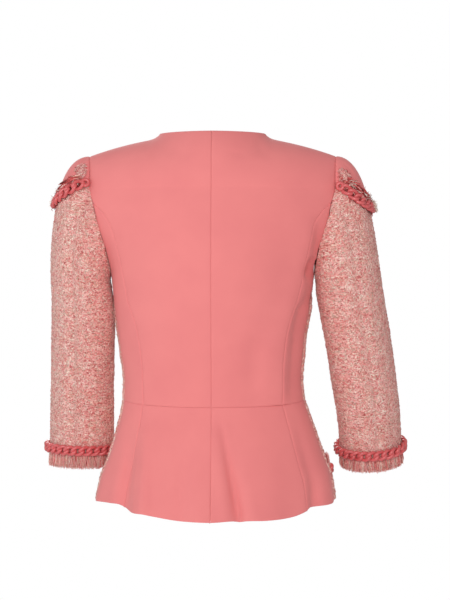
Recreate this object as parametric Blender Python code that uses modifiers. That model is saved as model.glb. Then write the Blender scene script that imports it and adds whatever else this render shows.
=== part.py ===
"""Cropped tweed jacket with a flared peplum, filled out as when it is worn.

+Z is up, the front faces -Y and the wearer's left is at +X.  The origin is the
middle of the neck opening, at the height of the neck points.  Sizes and tables
are in millimetres; meshes are written in metres.

The back, its peplum and the sleeve heads are crepe.  The fronts, their peplum
and the sleeves are tweed.  Chains with fringe cross the sleeves below the
sleeve heads, go round the cuffs and lie on the front peplum.
"""
import math
from bisect import bisect_right
from collections import namedtuple

import bpy
from mathutils import Vector

MILLIMETRE = 0.001
LEFT = 1
RIGHT = -1
SIDE_NAMES = {LEFT: "left", RIGHT: "right"}

# Cloth
CREPE_THICKNESS = 1.5
TWEED_THICKNESS = 2.0
SEAM_MARGIN = 0.3             # each panel stops this far short of its seam line
CURVED_MARGIN = 0.4           # more where the cloth turns quickly beside its seam
SHOULDER_MARGIN = 0.4         # and on the ridge of the shoulder seam
FRONT_EDGE_MARGIN = 0.8       # the fronts meet edge to edge
SLEEVE_CLEARANCE = 0.6        # sleeve edge, out from the armhole edge
LEAST_SQUARE = 0.25           # an edge that slants more than this share takes no more margin
LARGEST_PULL = 0.75           # and a margin takes at most this share of the way to the next row

# Heights of the main lines
WAIST = -370
UNDERARM = -192
BACK_ROLL = -75               # the back starts to turn over to the shoulder
FRONT_ROLL = -104             # the front does so at its edge
FRONT_ROLL_ARMHOLE = -78      # and at its armhole
HEM = -509
PRINCESS_TOP = -95            # where the back princess seam meets the armhole
PRINCESS_TIP = 0.7            # the side back's point ends this share of the way up to it
NECK_HALF_WIDTH = 74
SHOULDER_HALF_WIDTH = 172
SHOULDER_TOP = -2.3           # shoulder line beside the neck, before its rise
SHOULDER_SLOPE = 0.15
SHOULDER_ROUND = 0.00105
NECK_RISE = 6.5
NECK_RISE_SPREAD = 5
NECK_SIDE_DEPTH = 2           # the neck point lies a little behind the shoulder tip
NECK_BACK_DEPTH = 60          # centre of the back neckline
NECK_BACK_HEIGHT = 5
NECK_FRONT_DEPTH = -72        # centre of the front neckline
NECK_FRONT_HEIGHT = -75
WAIST_SEAM_DIP = 8            # centre of the waist seam below its ends
WAIST_SIDE_RISE = 3
WAIST_DIP_FADES_AT = -300

# How far a column turns over (degrees) at the neckline and at the shoulder seam
NECK_TURN = 48
SHOULDER_TURN = 90
TURN_GROWS_BEFORE = 2         # columns before the neck side where the turn starts to grow
TURN_GROWS_OVER = 3           # and the columns that it takes

# Chains and fringe
CHAIN_PITCH = 10
CHAIN_HALF_WIDTH = 6.3
CHAIN_HEIGHT = 5.4
CHAIN_GAP = 0.8               # between a chain and the cloth
CHAIN_SLANT = 0.35            # links lean along the chain by this share of the width
LINK_WAIST = 0.66             # size of the chain between two links
# Cross section of a link: crosswise share of the half width, share of the height
LINK_SECTION = [(-1, 0.45), (-0.6, 1), (0.6, 1), (1, 0.45), (0.6, 0), (-0.6, 0)]
SHOULDER_CHAIN_SPAN = 86      # degrees of the sleeve head's half ellipse, each way
CUFF_CHAIN_HEIGHT = -437.5
PEPLUM_CHAIN_DROP = 0.7
STRIP_WIDTH = 3.0             # the strip that the strands grow from
STRIP_THICKNESS = 1.6
PEPLUM_STRIP_DROP = 0.76
PEPLUM_TRIM_START = {LEFT: 104, RIGHT: 93.5}   # degrees from centre back
PEPLUM_TRIM_TURN = 52
STRAND_SPREAD = 0.16          # strands differ in length by up to this share
STRAND_SWAY = 0.22            # and lean sideways by up to this share of their pitch
KNEE_PLACE = 0.3              # each strand narrows part of the way down
KNEE_SIZE = 0.5
KNEE_SWAY = 0.4
# Rate along the row, phase from row to row, and size of each wave of unevenness
STRAND_WAVES = [(12.9898, 78.233, 0.6), (4.137, 1.7, 0.4)]

# Strands of each fringe, their length, how far their tips stand off the cloth,
# the strip's gap to it and its distance from the line that it follows, and which
# of the uneven rows it takes
Fringe = namedtuple("Fringe", "strands length lift gap offset seed")
FRINGES = {
    "shoulder": Fringe(20, 13, 2.5, 0.5, 7.0, 1),
    "cuff": Fringe(34, 17, 1.0, 0.5, 0.0, 2),
    "peplum": Fringe(18, 28, 3.0, 0.8, 0.0, 3),
}

Finish = namedtuple("Finish", "colour roughness metallic")
CREPE = Finish((0.83, 0.25, 0.25), 0.75, 0.0)
TWEED = Finish((0.68, 0.34, 0.29), 0.95, 0.0)
CHAIN = Finish((0.62, 0.13, 0.12), 0.35, 0.1)
FRINGE = Finish((0.68, 0.30, 0.26), 0.95, 0.0)


class Table:
    """Rows of numbers under named columns, read along a smooth curve.

    The first column is the place.  The curve between two rows never swings
    past their values.
    """

    def __init__(self, columns, rows):
        self.columns = columns.split()
        self.rows = sorted(rows)
        self.places = [row[0] for row in self.rows]

    def read(self, column, place):
        values = [row[self.columns.index(column)] for row in self.rows]
        if place <= self.places[0]:
            return values[0]
        if place >= self.places[-1]:
            return values[-1]
        first = bisect_right(self.places, place) - 1
        width = self.places[first + 1] - self.places[first]
        share = (place - self.places[first]) / width
        return hermite(
            values[first],
            values[first + 1],
            self.slope(values, first) * width,
            self.slope(values, first + 1) * width,
            share,
        )

    def slope(self, values, index):
        def chord(start):
            return (values[start + 1] - values[start]) / (self.places[start + 1] - self.places[start])

        if index == 0:
            return chord(0)
        if index == len(values) - 1:
            return chord(index - 1)
        before = chord(index - 1)
        after = chord(index)
        if before * after <= 0:
            return 0.0
        return 2 * before * after / (before + after)


def hermite(start, end, start_slope, end_slope, share):
    """A cubic from start to end; works on numbers and on vectors."""
    square = share * share
    cube = square * share
    return (
        start * (2 * cube - 3 * square + 1)
        + start_slope * (cube - 2 * square + share)
        + end * (3 * square - 2 * cube)
        + end_slope * (cube - square)
    )


def mix(start, end, share):
    return start + (end - start) * share


def smooth(share):
    share = min(max(share, 0.0), 1.0)
    return share * share * (3 - 2 * share)


# Level hoops from hem to underarm: half widths to the wearer's left and right,
# centre back, centre front, and where the side seam lies
HOOPS = Table(
    "height left right back front side",
    [
        (-509, 162, 170, 133, -127, 6),
        (-477, 155, 165, 121, -118, 5),
        (-444, 142.5, 153, 107, -108, 4),
        (-410, 132.5, 141, 94, -98, 4),
        (-385, 126, 132, 84, -92, 4),
        (-370, 124, 127, 80, -90, 4),
        (-343, 123, 124, 83, -94, 4),
        (-309, 127, 126.5, 90, -103, 4),
        (-276, 131.5, 129.5, 97, -112, 3),
        (-234, 137.5, 137, 103, -119, 1),
        (-192, 142, 142, 106, -118, 0),
    ],
)

# Above the underarm: the centre, the armhole edge, and how far round the
# hoop has turned (degrees) when it reaches that edge
UPPER_BACK = Table(
    "height centre edge_x edge_y turn",
    [
        (-192, 106, 142, 0, 90),
        (-180, 106, 143.5, 17, 78),
        (-158, 105, 148, 30, 68),
        (-127, 102, 157, 41, 58),
        (-104, 98, 162.5, 44, 52),
        (-75, 91, 170, 37, 48),
    ],
)
UPPER_FRONT = Table(
    "height centre edge_x edge_y turn",
    [
        (-192, -118, 142, 0, 90),
        (-180, -115.5, 142.5, -19, 78),
        (-158, -108, 144, -36, 68),
        (-127, -95, 149, -48, 60),
        (-104, -84, 156, -51, 56),
        (-78, -73, 165, -42, 52),
    ],
)

# Back princess seam, from the armhole to the waist
PRINCESS = Table(
    "height across",
    [
        (-370, 94),
        (-330, 94.6),
        (-313, 96),
        (-285, 99.5),
        (-257, 105.6),
        (-225, 116.5),
        (-190, 122.5),
        (-158, 130),
        (-128, 138.7),
        (-106, 152),
        (-95, 164.4),
    ],
)
PEPLUM_SEAM_ANGLE = 50.5      # the princess seam goes on down the peplum

# Peplum flutes at the hem: place round the body (degrees from centre back,
# + to the wearer's left), depth (+ ridge, - trough) and spread (degrees)
FLUTES = Table(
    "angle depth spread",
    [
        (-158, 4, 9),
        (-137, -5, 8),
        (-118, 5, 9),
        (-72, 4, 8),
        (-58, -6, 5),
        (-25, 4, 9),
        (-12, -6.5, 5),
        (5, 4, 8),
        (15, -2.5, 5),
        (35, 6, 9),
        (51, -6, 5),
        (75, 4, 8),
        (118, 5, 9),
        (137, -5, 8),
        (158, 4, 9),
    ],
)

# Height of the hem round the body, from centre back to centre front
HEM_LINE = Table(
    "angle left right",
    [
        (0, -526, -526),
        (15, -524.5, -525),
        (30, -518.5, -524),
        (40, -515.5, -521.5),
        (48, -511.5, -516.5),
        (55, -506, -511),
        (65, -505.5, -509.5),
        (90, -507, -506),
        (130, -509, -509),
        (180, -518, -518),
    ],
)

# Bust: a soft mound on each front
BUST_ACROSS = 70
BUST_HEIGHT = -215
BUST_DEPTH = 9
BUST_SPREAD = (42, 55)

# Sleeve centre lines and half sizes.  The right sleeve is held out further.
SLEEVES = {
    LEFT: Table(
        "height across depth half_width half_depth",
        [
            (-445, 188.4, -66, 45.8, 41),
            (-390, 187.4, -55, 45.2, 43),
            (-340, 185.7, -43, 44.7, 46),
            (-290, 184, -29, 44.7, 49),
            (-245, 182.3, -15, 44.4, 50.5),
            (-215, 184, -8, 42.3, 51),
        ],
    ),
    RIGHT: Table(
        "height across depth half_width half_depth",
        [
            (-445, 223.8, -52, 43.6, 41),
            (-390, 219.6, -37, 44.2, 43),
            (-340, 212.2, -26, 45.6, 46),
            (-290, 204.9, -17, 45.9, 49),
            (-245, 196.6, -11, 46.3, 50.5),
            (-215, 191.5, -8, 46.5, 51),
        ],
    ),
}
SLEEVE_TOP = -215
SLEEVE_HEM = -445
CUFF_LEVEL = {LEFT: 0.47, RIGHT: 1.0}   # how far the rings tip forward with the arm
CAP_FULLNESS = {LEFT: 150, RIGHT: 130}  # how strongly the cap leaves the shoulder outward
CAP_LEAVES_UNDERARM = 12      # and the underarm
CAP_FLARE = 45                # how strongly it leaves the armhole forward and back
CAP_FALL = (55, 12)           # and downward, at the underarm and at the shoulder tip
CAP_ARRIVES = (30, 150)       # how strongly it joins the tube, at the same two places
CAP_STEP = 0.02               # steps over which slopes are taken on the cap
COLUMN_STEP = 0.3
AXIS_STEP = 12                # down the sleeve
DROP_STEP = 0.03              # and down the peplum
HEAD_DEPTH = 0.49             # sleeve head at the shoulder tip, as a share of the cap
HEAD_END = 0.022              # and where it meets the armhole
HEAD_GATHER = 1.2
HEAD_COLUMNS = 6              # armhole edge steps from the shoulder tip to the head's end
HEAD_REACH = 5.4              # and to where its lower edge runs into the armhole

# Rows of the bodice and steps over its roll
LOW_ROWS = [-370, -340, -308, -272, -234, -192]
BACK_ROWS = [-165, -138, -115, -102, -95]
FRONT_ROW_SHARES = [0.2, 0.42, 0.65, 0.84, 1.0]
ROLL_SHARES = [step / HEAD_COLUMNS for step in range(1, HEAD_COLUMNS + 1)]
CAP_SHARES = [0, 0.12, 0.27, 0.45, 0.7, 1]
HEAD_SHARES = [0, 0.25, 0.5, 0.75, 1]
TUBE_ROWS = [-245, -282, -322, -362, -402, -428, SLEEVE_HEM]
BACK_COLUMNS = 8
SIDE_BACK_COLUMNS = 4
BACK_NECK_COLUMNS = 3
FRONT_COLUMNS = 10
FRONT_NECK_COLUMNS = 4

PEPLUM_PANELS = Table(
    "first_angle last_angle columns thickness",
    [
        (0, PEPLUM_SEAM_ANGLE, 14, CREPE_THICKNESS),
        (PEPLUM_SEAM_ANGLE, 90, 9, CREPE_THICKNESS),
        (90, 180, 18, TWEED_THICKNESS),
    ],
)
PEPLUM_NAMES = ["peplum_back_", "peplum_side_", "peplum_front_"]
PEPLUM_DROPS = [0, 0.16, 0.34, 0.54, 0.77, 1]
FLUTE_GROWTH = 1.3            # flutes deepen towards the hem with this power


# --- body ------------------------------------------------------------------

def hoop_point(side, angle, height):
    """A point of the hoop at a height; angle 0 is centre back, 180 centre front."""
    turn = math.radians(angle)
    seam = HOOPS.read("side", height)
    reach = "back" if angle <= 90 else "front"
    depth = abs(HOOPS.read(reach, height) - seam)
    across = HOOPS.read(SIDE_NAMES[side], height) * math.sin(turn)
    return across, seam + depth * math.cos(turn)


def waist_drop(angle):
    """The waist seam against its mean height: higher at the sides, lower at the centre."""
    return WAIST_SIDE_RISE - WAIST_SEAM_DIP * abs(math.cos(math.radians(angle)))


def upper_point(table, share, height):
    """A place above the underarm, at a share of the way to the armhole edge."""
    turn = math.radians(table.read("turn", height))
    centre = table.read("centre", height)
    edge_y = table.read("edge_y", height)
    angle = turn * share
    across = table.read("edge_x", height) * math.sin(angle) / math.sin(turn)
    depth = mix(edge_y, centre, (math.cos(angle) - math.cos(turn)) / (1 - math.cos(turn)))
    return across, depth


def bust(across, height):
    """How far the front is filled out."""
    along = (across - BUST_ACROSS) / BUST_SPREAD[0]
    up = (height - BUST_HEIGHT) / BUST_SPREAD[1]
    return BUST_DEPTH * math.exp(-along * along - up * up)


def bodice_point(side, is_front, share, height):
    """A bodice point below the roll; share 0 is the centre, 1 the side or armhole."""
    drop = 0.0
    if height > UNDERARM:
        across, depth = upper_point(UPPER_FRONT if is_front else UPPER_BACK, share, height)
    else:
        angle = 180 - 90 * share if is_front else 90 * share
        across, depth = hoop_point(side, angle, height)
        fade = smooth((WAIST_DIP_FADES_AT - height) / (WAIST_DIP_FADES_AT - WAIST))
        drop = waist_drop(angle) * fade
    if is_front:
        depth -= bust(across, height)
    return Vector((side * across, depth, height + drop))


def shoulder_height(across):
    """The shoulder slopes down outward and rises a little beside the neck."""
    from_neck = across - NECK_HALF_WIDTH
    rise = NECK_RISE * math.exp(-from_neck / NECK_RISE_SPREAD)
    return SHOULDER_TOP - SHOULDER_SLOPE * from_neck - SHOULDER_ROUND * from_neck ** 2 + rise


def top_edge_point(is_front, column, columns, neck_columns):
    """The neckline, then the shoulder seam, from the centre outward."""
    neck_height = shoulder_height(NECK_HALF_WIDTH)
    if column <= neck_columns:
        turn = math.radians(90 * column / neck_columns)
        if is_front:
            depth = mix(NECK_SIDE_DEPTH, NECK_FRONT_DEPTH, math.cos(turn))
            height = mix(neck_height, NECK_FRONT_HEIGHT, math.cos(turn))
        else:
            depth = mix(NECK_SIDE_DEPTH, NECK_BACK_DEPTH, math.cos(turn))
            height = mix(NECK_BACK_HEIGHT, neck_height, math.sin(turn))
        return Vector((NECK_HALF_WIDTH * math.sin(turn), depth, height))
    share = (column - neck_columns) / (columns - neck_columns)
    across = mix(NECK_HALF_WIDTH, SHOULDER_HALF_WIDTH, share)
    return Vector((across, mix(NECK_SIDE_DEPTH, 0, share), shoulder_height(across)))


def roll_start(is_front, share):
    """Height at which a column starts to turn over to its top edge."""
    return mix(FRONT_ROLL, FRONT_ROLL_ARMHOLE, smooth(share)) if is_front else BACK_ROLL


def roll_point(side, is_front, column, columns, neck_columns, share):
    """A point on the turn-over between the panel's face and its top edge."""
    start_height = roll_start(is_front, column / columns)
    start = bodice_point(side, is_front, column / columns, start_height)
    end = top_edge_point(is_front, column, columns, neck_columns)
    end.x *= side
    past_neck = smooth((column - neck_columns + TURN_GROWS_BEFORE) / TURN_GROWS_OVER)
    full_turn = math.radians(mix(NECK_TURN, SHOULDER_TURN, past_neck))
    angle = full_turn * share
    rise = math.sin(angle) / math.sin(full_turn)
    inward = (1 - math.cos(angle)) / (1 - math.cos(full_turn))
    height = mix(start.z, end.z, rise)
    return Vector((mix(start.x, end.x, inward), mix(start.y, end.y, inward), height))


def princess_share(height):
    """Where the princess seam crosses the back, as a share of the hoop's turn."""
    across = PRINCESS.read("across", height)
    if height > UNDERARM:
        turn = math.radians(UPPER_BACK.read("turn", height))
        edge = UPPER_BACK.read("edge_x", height)
    else:
        turn = math.radians(90)
        edge = HOOPS.read("left", height)
    return math.asin(min(across * math.sin(turn) / edge, math.sin(turn))) / turn


# --- peplum ------------------------------------------------------------------

def flute_depth(side, angle):
    """How far the flutes push the hem out or in at a place round the body."""
    place = side * angle
    depth = 0.0
    for flute_angle, height, spread in FLUTES.rows:
        distance = (place - flute_angle) / spread
        depth += height * math.exp(-distance * distance)
    return depth


def peplum_point(side, angle, drop):
    """A peplum point; drop 0 is the waist seam and 1 the hem."""
    height = mix(WAIST, HEM, drop)
    across, depth = hoop_point(side, angle, height)
    turn = math.radians(angle)
    out = flute_depth(side, angle) * drop ** FLUTE_GROWTH
    lower = mix(waist_drop(angle), HEM_LINE.read(SIDE_NAMES[side], angle) - HEM, drop)
    return Vector((side * (across + out * math.sin(turn)), depth + out * math.cos(turn), height + lower))


# --- sleeve ------------------------------------------------------------------

def armhole_ring(side):
    """Armhole edge points from the shoulder tip down the back, and up the front."""
    back = []
    for share in reversed(ROLL_SHARES):
        back.append(roll_point(side, False, BACK_COLUMNS, BACK_COLUMNS, BACK_NECK_COLUMNS, share))
    back.append(bodice_point(side, False, 1, BACK_ROLL))
    for height in reversed([UNDERARM] + BACK_ROWS):
        back.append(bodice_point(side, False, 1, height))
    front = []
    start = roll_start(True, 1)
    for share in FRONT_ROW_SHARES:
        front.append(bodice_point(side, True, 1, mix(UNDERARM, start, share)))
    for share in ROLL_SHARES[:-1]:
        front.append(roll_point(side, True, FRONT_COLUMNS, FRONT_COLUMNS, FRONT_NECK_COLUMNS, share))
    return back + front, len(back) - 1


def sleeve_angles(ring, underarm):
    """Angle round the sleeve for each armhole point: 0 outside, pi at the underarm."""
    lengths = [0.0]
    for index in range(len(ring)):
        after = ring[(index + 1) % len(ring)]
        lengths.append(lengths[-1] + (after - ring[index]).length)
    half = lengths[underarm]
    angles = []
    for index in range(len(ring)):
        if index <= underarm:
            angles.append(math.pi * lengths[index] / half)
        else:
            angles.append(math.pi + math.pi * (lengths[index] - half) / (lengths[-1] - half))
    return angles


def sleeve_centre(side, height):
    table = SLEEVES[side]
    return Vector((side * table.read("across", height), table.read("depth", height), height))


def sleeve_axis(side, height):
    """Direction down the sleeve."""
    low = max(height - AXIS_STEP, SLEEVE_HEM)
    high = min(height + AXIS_STEP, SLEEVE_TOP)
    return (sleeve_centre(side, low) - sleeve_centre(side, high)).normalized()


def tube_point(side, angle, height, outward=0.0):
    """A point on the sleeve's tube, on a ring about square to its centre line."""
    table = SLEEVES[side]
    axis = sleeve_axis(side, height)
    axis.y *= CUFF_LEVEL[side]
    axis.normalize()
    outer = Vector((side, 0, 0))
    outer = (outer - axis * outer.dot(axis)).normalized()
    back = Vector((0, 1, 0))
    back = (back - axis * back.dot(axis)).normalized()
    wide = table.read("half_width", height) + outward
    deep = table.read("half_depth", height) + outward
    return sleeve_centre(side, height) + outer * wide * math.cos(angle) + back * deep * math.sin(angle)


def between(values, place):
    """Linear reading of a closed list at a place that may be negative or fractional."""
    index = math.floor(place)
    first = values[index % len(values)]
    second = values[(index + 1) % len(values)]
    return mix(first, second, place - index)


class Cap:
    """The top of a sleeve, from the armhole to the first full ring of the tube."""

    def __init__(self, side):
        self.side = side
        self.ring, self.underarm = armhole_ring(side)
        self.angles = sleeve_angles(self.ring, self.underarm)

    def angle(self, column):
        index = math.floor(column)
        first = self.angles[index % len(self.angles)]
        second = self.angles[(index + 1) % len(self.angles)]
        if second < first:
            second += 2 * math.pi
        return mix(first, second, column - index)

    def point(self, column, share, outward=0.0):
        """Share 0 is the armhole edge and 1 the tube's first ring."""
        angle = self.angle(column)
        start = between(self.ring, column) + Vector((self.side * SLEEVE_CLEARANCE, 0, 0))
        end = tube_point(self.side, angle, SLEEVE_TOP)
        top = math.cos(angle / 2) ** 2
        start_slope = Vector((
            self.side * (CAP_FULLNESS[self.side] * top + CAP_LEAVES_UNDERARM),
            CAP_FLARE * math.sin(angle),
            -mix(*CAP_FALL, top),
        ))
        end_slope = sleeve_axis(self.side, SLEEVE_TOP) * mix(*CAP_ARRIVES, top)
        place = hermite(start, end, start_slope, end_slope, share)
        if outward:
            place += self.normal(column, share) * outward
        return place

    def normal(self, column, share):
        """Unit normal of the cap, away from the arm."""
        around = self.point(column + COLUMN_STEP, share) - self.point(column - COLUMN_STEP, share)
        down = self.point(column, share + CAP_STEP) - self.point(column, max(share - CAP_STEP, 0))
        return around.cross(down).normalized() * -self.side

    def head_share(self, column):
        """Where the sleeve head ends and the tweed sleeve begins, along half an ellipse."""
        reach = min(abs(column) / HEAD_REACH, 1)
        return mix(HEAD_END, HEAD_DEPTH, math.sqrt(1 - reach * reach))


# --- meshes ------------------------------------------------------------------

def new_collection():
    for item in list(bpy.data.objects):
        bpy.data.objects.remove(item, do_unlink=True)
    collection = bpy.data.collections.new("cropped_tweed_jacket")
    bpy.context.scene.collection.children.link(collection)
    return collection


def new_material(name, finish):
    material = bpy.data.materials.new(name)
    material.use_nodes = True
    shader = material.node_tree.nodes["Principled BSDF"]
    shader.inputs["Base Color"].default_value = (*finish.colour, 1)
    shader.inputs["Roughness"].default_value = finish.roughness
    shader.inputs["Metallic"].default_value = finish.metallic
    return material


def new_object(collection, name, points, faces, finish, smooth_faces=True):
    """An object of its own mesh and material; points are in millimetres."""
    mesh = bpy.data.meshes.new(name)
    mesh.from_pydata([tuple(point * MILLIMETRE) for point in points], [], faces)
    if smooth_faces:
        mesh.shade_smooth()
    mesh.validate()
    item = bpy.data.objects.new(name, mesh)
    item.data.materials.append(new_material(name + "_finish", finish))
    collection.objects.link(item)
    return item


def grid_faces(rows, columns, closed, flipped):
    """Quads between neighbouring rows of points."""
    faces = []
    for row in range(rows - 1):
        for column in range(columns if closed else columns - 1):
            after = (column + 1) % columns
            corners = [
                row * columns + column,
                row * columns + after,
                (row + 1) * columns + after,
                (row + 1) * columns + column,
            ]
            faces.append(corners[::-1] if flipped else corners)
    return faces


def pull_edge(edge, inner, margin):
    """Move an edge towards the row inside it, by a margin measured square to the edge."""
    pulled = []
    for index, point in enumerate(edge):
        before = edge[max(index - 1, 0)]
        after = edge[min(index + 1, len(edge) - 1)]
        along = (after - before).normalized()
        inward = inner[index] - point
        room = inward.length
        inward.normalize()
        square = (inward - along * inward.dot(along)).length
        pull = min(margin / max(square, LEAST_SQUARE), room * LARGEST_PULL)
        pulled.append(point + inward * pull)
    return pulled


def pull_in(rows, first=0.0, last=0.0, left=0.0, right=0.0):
    """Move each edge of a grid of points inward by its margin."""
    def moved(edge, inner, margin):
        return edge + (inner - edge).normalized() * margin

    if first:
        rows[0] = pull_edge(rows[0], rows[1], first)
    if last:
        rows[-1] = pull_edge(rows[-1], rows[-2], last)
    for row in rows:
        if left:
            row[0] = moved(row[0], row[1], left)
        if right:
            row[-1] = moved(row[-1], row[-2], right)
    return rows


def cloth(collection, name, rows, thickness, finish, closed=False, flipped=False):
    """A cloth panel: its outer face, thickened inward by Solidify."""
    points = [point for row in rows for point in row]
    faces = grid_faces(len(rows), len(rows[0]), closed, flipped)
    item = new_object(collection, name, points, faces, finish)
    solid = item.modifiers.new("thickness", "SOLIDIFY")
    solid.thickness = thickness * MILLIMETRE
    solid.offset = -1
    solid.use_even_offset = False
    return item


# --- panels ------------------------------------------------------------------

def make_back(collection, side):
    """Back panel between the centre seam and the princess seam and armhole."""
    rows = []
    for height in LOW_ROWS + BACK_ROWS:
        edge = princess_share(height) if height < PRINCESS_TOP else 1
        shares = [edge * column / BACK_COLUMNS for column in range(BACK_COLUMNS + 1)]
        rows.append([bodice_point(side, False, share, height) for share in shares])
    shares = [column / BACK_COLUMNS for column in range(BACK_COLUMNS + 1)]
    rows.append([bodice_point(side, False, share, BACK_ROLL) for share in shares])
    for share in ROLL_SHARES:
        rows.append([
            roll_point(side, False, column, BACK_COLUMNS, BACK_NECK_COLUMNS, share)
            for column in range(BACK_COLUMNS + 1)
        ])
    rows = pull_in(rows, SEAM_MARGIN, SHOULDER_MARGIN, CURVED_MARGIN, SEAM_MARGIN)
    name = "back_" + SIDE_NAMES[side]
    cloth(collection, name, rows, CREPE_THICKNESS, CREPE, flipped=side == LEFT)


def make_side_back(collection, side):
    """Side back panel, from the princess seam to the side seam, pointed at the top."""
    edges = [(height, princess_share(height)) for height in LOW_ROWS + BACK_ROWS[:-1]]
    last_height, last_edge = edges[-1]
    edges.append((mix(last_height, PRINCESS_TOP, PRINCESS_TIP), mix(last_edge, 1, PRINCESS_TIP)))
    rows = []
    for height, edge in edges:
        shares = [mix(edge, 1, column / SIDE_BACK_COLUMNS) for column in range(SIDE_BACK_COLUMNS + 1)]
        rows.append([bodice_point(side, False, share, height) for share in shares])
    rows = pull_in(rows, SEAM_MARGIN, SEAM_MARGIN, CURVED_MARGIN, SEAM_MARGIN)
    name = "side_back_" + SIDE_NAMES[side]
    cloth(collection, name, rows, CREPE_THICKNESS, CREPE, flipped=side == LEFT)


def make_front(collection, side):
    """Front panel, from the front edge to the side seam and armhole."""
    shares = [column / FRONT_COLUMNS for column in range(FRONT_COLUMNS + 1)]
    rows = []
    for height in LOW_ROWS:
        rows.append([bodice_point(side, True, share, height) for share in shares])
    for up in FRONT_ROW_SHARES:
        rows.append([
            bodice_point(side, True, share, mix(UNDERARM, roll_start(True, share), up))
            for share in shares
        ])
    for share in ROLL_SHARES:
        rows.append([
            roll_point(side, True, column, FRONT_COLUMNS, FRONT_NECK_COLUMNS, share)
            for column in range(FRONT_COLUMNS + 1)
        ])
    rows = pull_in(rows, SEAM_MARGIN, SHOULDER_MARGIN, FRONT_EDGE_MARGIN, SEAM_MARGIN)
    name = "front_" + SIDE_NAMES[side]
    cloth(collection, name, rows, TWEED_THICKNESS, TWEED, flipped=side == RIGHT)


def make_peplum(collection, side):
    """Three flared panels between the waist seam and the hem."""
    for name, row in zip(PEPLUM_NAMES, PEPLUM_PANELS.rows):
        first_angle, last_angle, columns, thickness = row
        angles = [mix(first_angle, last_angle, column / columns) for column in range(columns + 1)]
        rows = [[peplum_point(side, angle, drop) for angle in angles] for drop in PEPLUM_DROPS]
        end_margin = FRONT_EDGE_MARGIN if last_angle == 180 else CURVED_MARGIN
        rows = pull_in(rows, SEAM_MARGIN, 0, CURVED_MARGIN, end_margin)
        finish = TWEED if last_angle == 180 else CREPE
        cloth(collection, name + SIDE_NAMES[side], rows, thickness, finish, flipped=side == RIGHT)


def make_sleeve(collection, side, cap):
    """Tweed tube below the sleeve head, open at the armhole and the cuff."""
    count = len(cap.ring)
    signed = [column if column <= count // 2 else column - count for column in range(count)]
    rows = []
    for share in CAP_SHARES:
        row = []
        for column in signed:
            start = cap.head_share(column) if abs(column) <= HEAD_COLUMNS else 0
            row.append(cap.point(column, mix(start, 1, share)))
        rows.append(row)
    for height in TUBE_ROWS:
        rows.append([tube_point(side, angle, height) for angle in cap.angles])
    rows = pull_in(rows, CURVED_MARGIN)
    name = "sleeve_" + SIDE_NAMES[side]
    cloth(collection, name, rows, TWEED_THICKNESS, TWEED, closed=True, flipped=side == LEFT)


def make_sleeve_head(collection, side, cap):
    """Crepe sleeve head between the shoulder end of the armhole and the chain."""
    columns = list(range(-HEAD_COLUMNS, HEAD_COLUMNS + 1))
    rows = []
    for share in HEAD_SHARES:
        row = []
        for column in columns:
            gather = HEAD_GATHER * math.sin(math.pi * share) * math.cos(math.pi * column)
            fade = math.cos(math.pi / 2 * column / HEAD_COLUMNS)
            row.append(cap.point(column, cap.head_share(column) * share, gather * fade))
        rows.append(row)
    rows = pull_in(rows, SEAM_MARGIN, CURVED_MARGIN)
    name = "sleeve_head_" + SIDE_NAMES[side]
    cloth(collection, name, rows, CREPE_THICKNESS, CREPE, flipped=side == LEFT)


# --- chains and fringe ---------------------------------------------------------

class Path:
    """A line on the cloth: a function from a share to a point and its outward normal."""

    def __init__(self, place, looped=False, samples=96):
        self.place = place
        self.looped = looped
        self.samples = samples
        self.lengths = [0.0]
        before = place(0)[0]
        for index in range(1, samples + 1):
            here = place(index / samples)[0]
            self.lengths.append(self.lengths[-1] + (here - before).length)
            before = here
        self.length = self.lengths[-1]

    def at(self, distance):
        """Point, direction, outward normal and crosswise direction at a distance."""
        distance = distance % self.length if self.looped else min(max(distance, 0), self.length)
        index = min(bisect_right(self.lengths, distance), self.samples) - 1
        span = self.lengths[index + 1] - self.lengths[index]
        share = (index + (distance - self.lengths[index]) / span) / self.samples
        point, normal = self.place(share)
        step = 0.5 / self.samples
        if self.looped:
            ahead = self.place((share + step) % 1)[0]
            behind = self.place((share - step) % 1)[0]
        else:
            ahead = self.place(min(share + step, 1))[0]
            behind = self.place(max(share - step, 0))[0]
        along = (ahead - behind).normalized()
        normal = (normal - along * normal.dot(along)).normalized()
        return point, along, normal, along.cross(normal)


def make_chain(collection, name, path):
    """A curb chain as one bar of slanted lumps, a link to each lump."""
    links = round(path.length / CHAIN_PITCH)
    pitch = path.length / links
    steps = 2 * links
    rings = steps if path.looped else steps + 1
    points = []
    for ring in range(rings):
        point, along, normal, across = path.at(ring * pitch / 2)
        size = 1 if ring % 2 else LINK_WAIST
        for cross_share, height_share in LINK_SECTION:
            crosswise = cross_share * CHAIN_HALF_WIDTH * size
            lean = cross_share * CHAIN_HALF_WIDTH * CHAIN_SLANT
            if not path.looped and ring in (0, rings - 1):
                lean = 0
            height = CHAIN_GAP + height_share * CHAIN_HEIGHT * size
            points.append(point + along * lean + across * crosswise + normal * height)
    sides = len(LINK_SECTION)
    faces = grid_faces(rings, sides, True, False)
    if path.looped:
        for side in range(sides):
            after = (side + 1) % sides
            last = (rings - 1) * sides
            faces.append([last + side, last + after, after, side])
    else:
        faces.append(list(range(sides))[::-1])
        faces.append([(rings - 1) * sides + side for side in range(sides)])
    new_object(collection, name, points, faces, CHAIN, smooth_faces=False)


def strand_noise(index, seed):
    """A repeatable spread between -1 and 1 that makes strands uneven."""
    return sum(size * math.sin(index * rate + seed * phase) for rate, phase, size in STRAND_WAVES)


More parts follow.
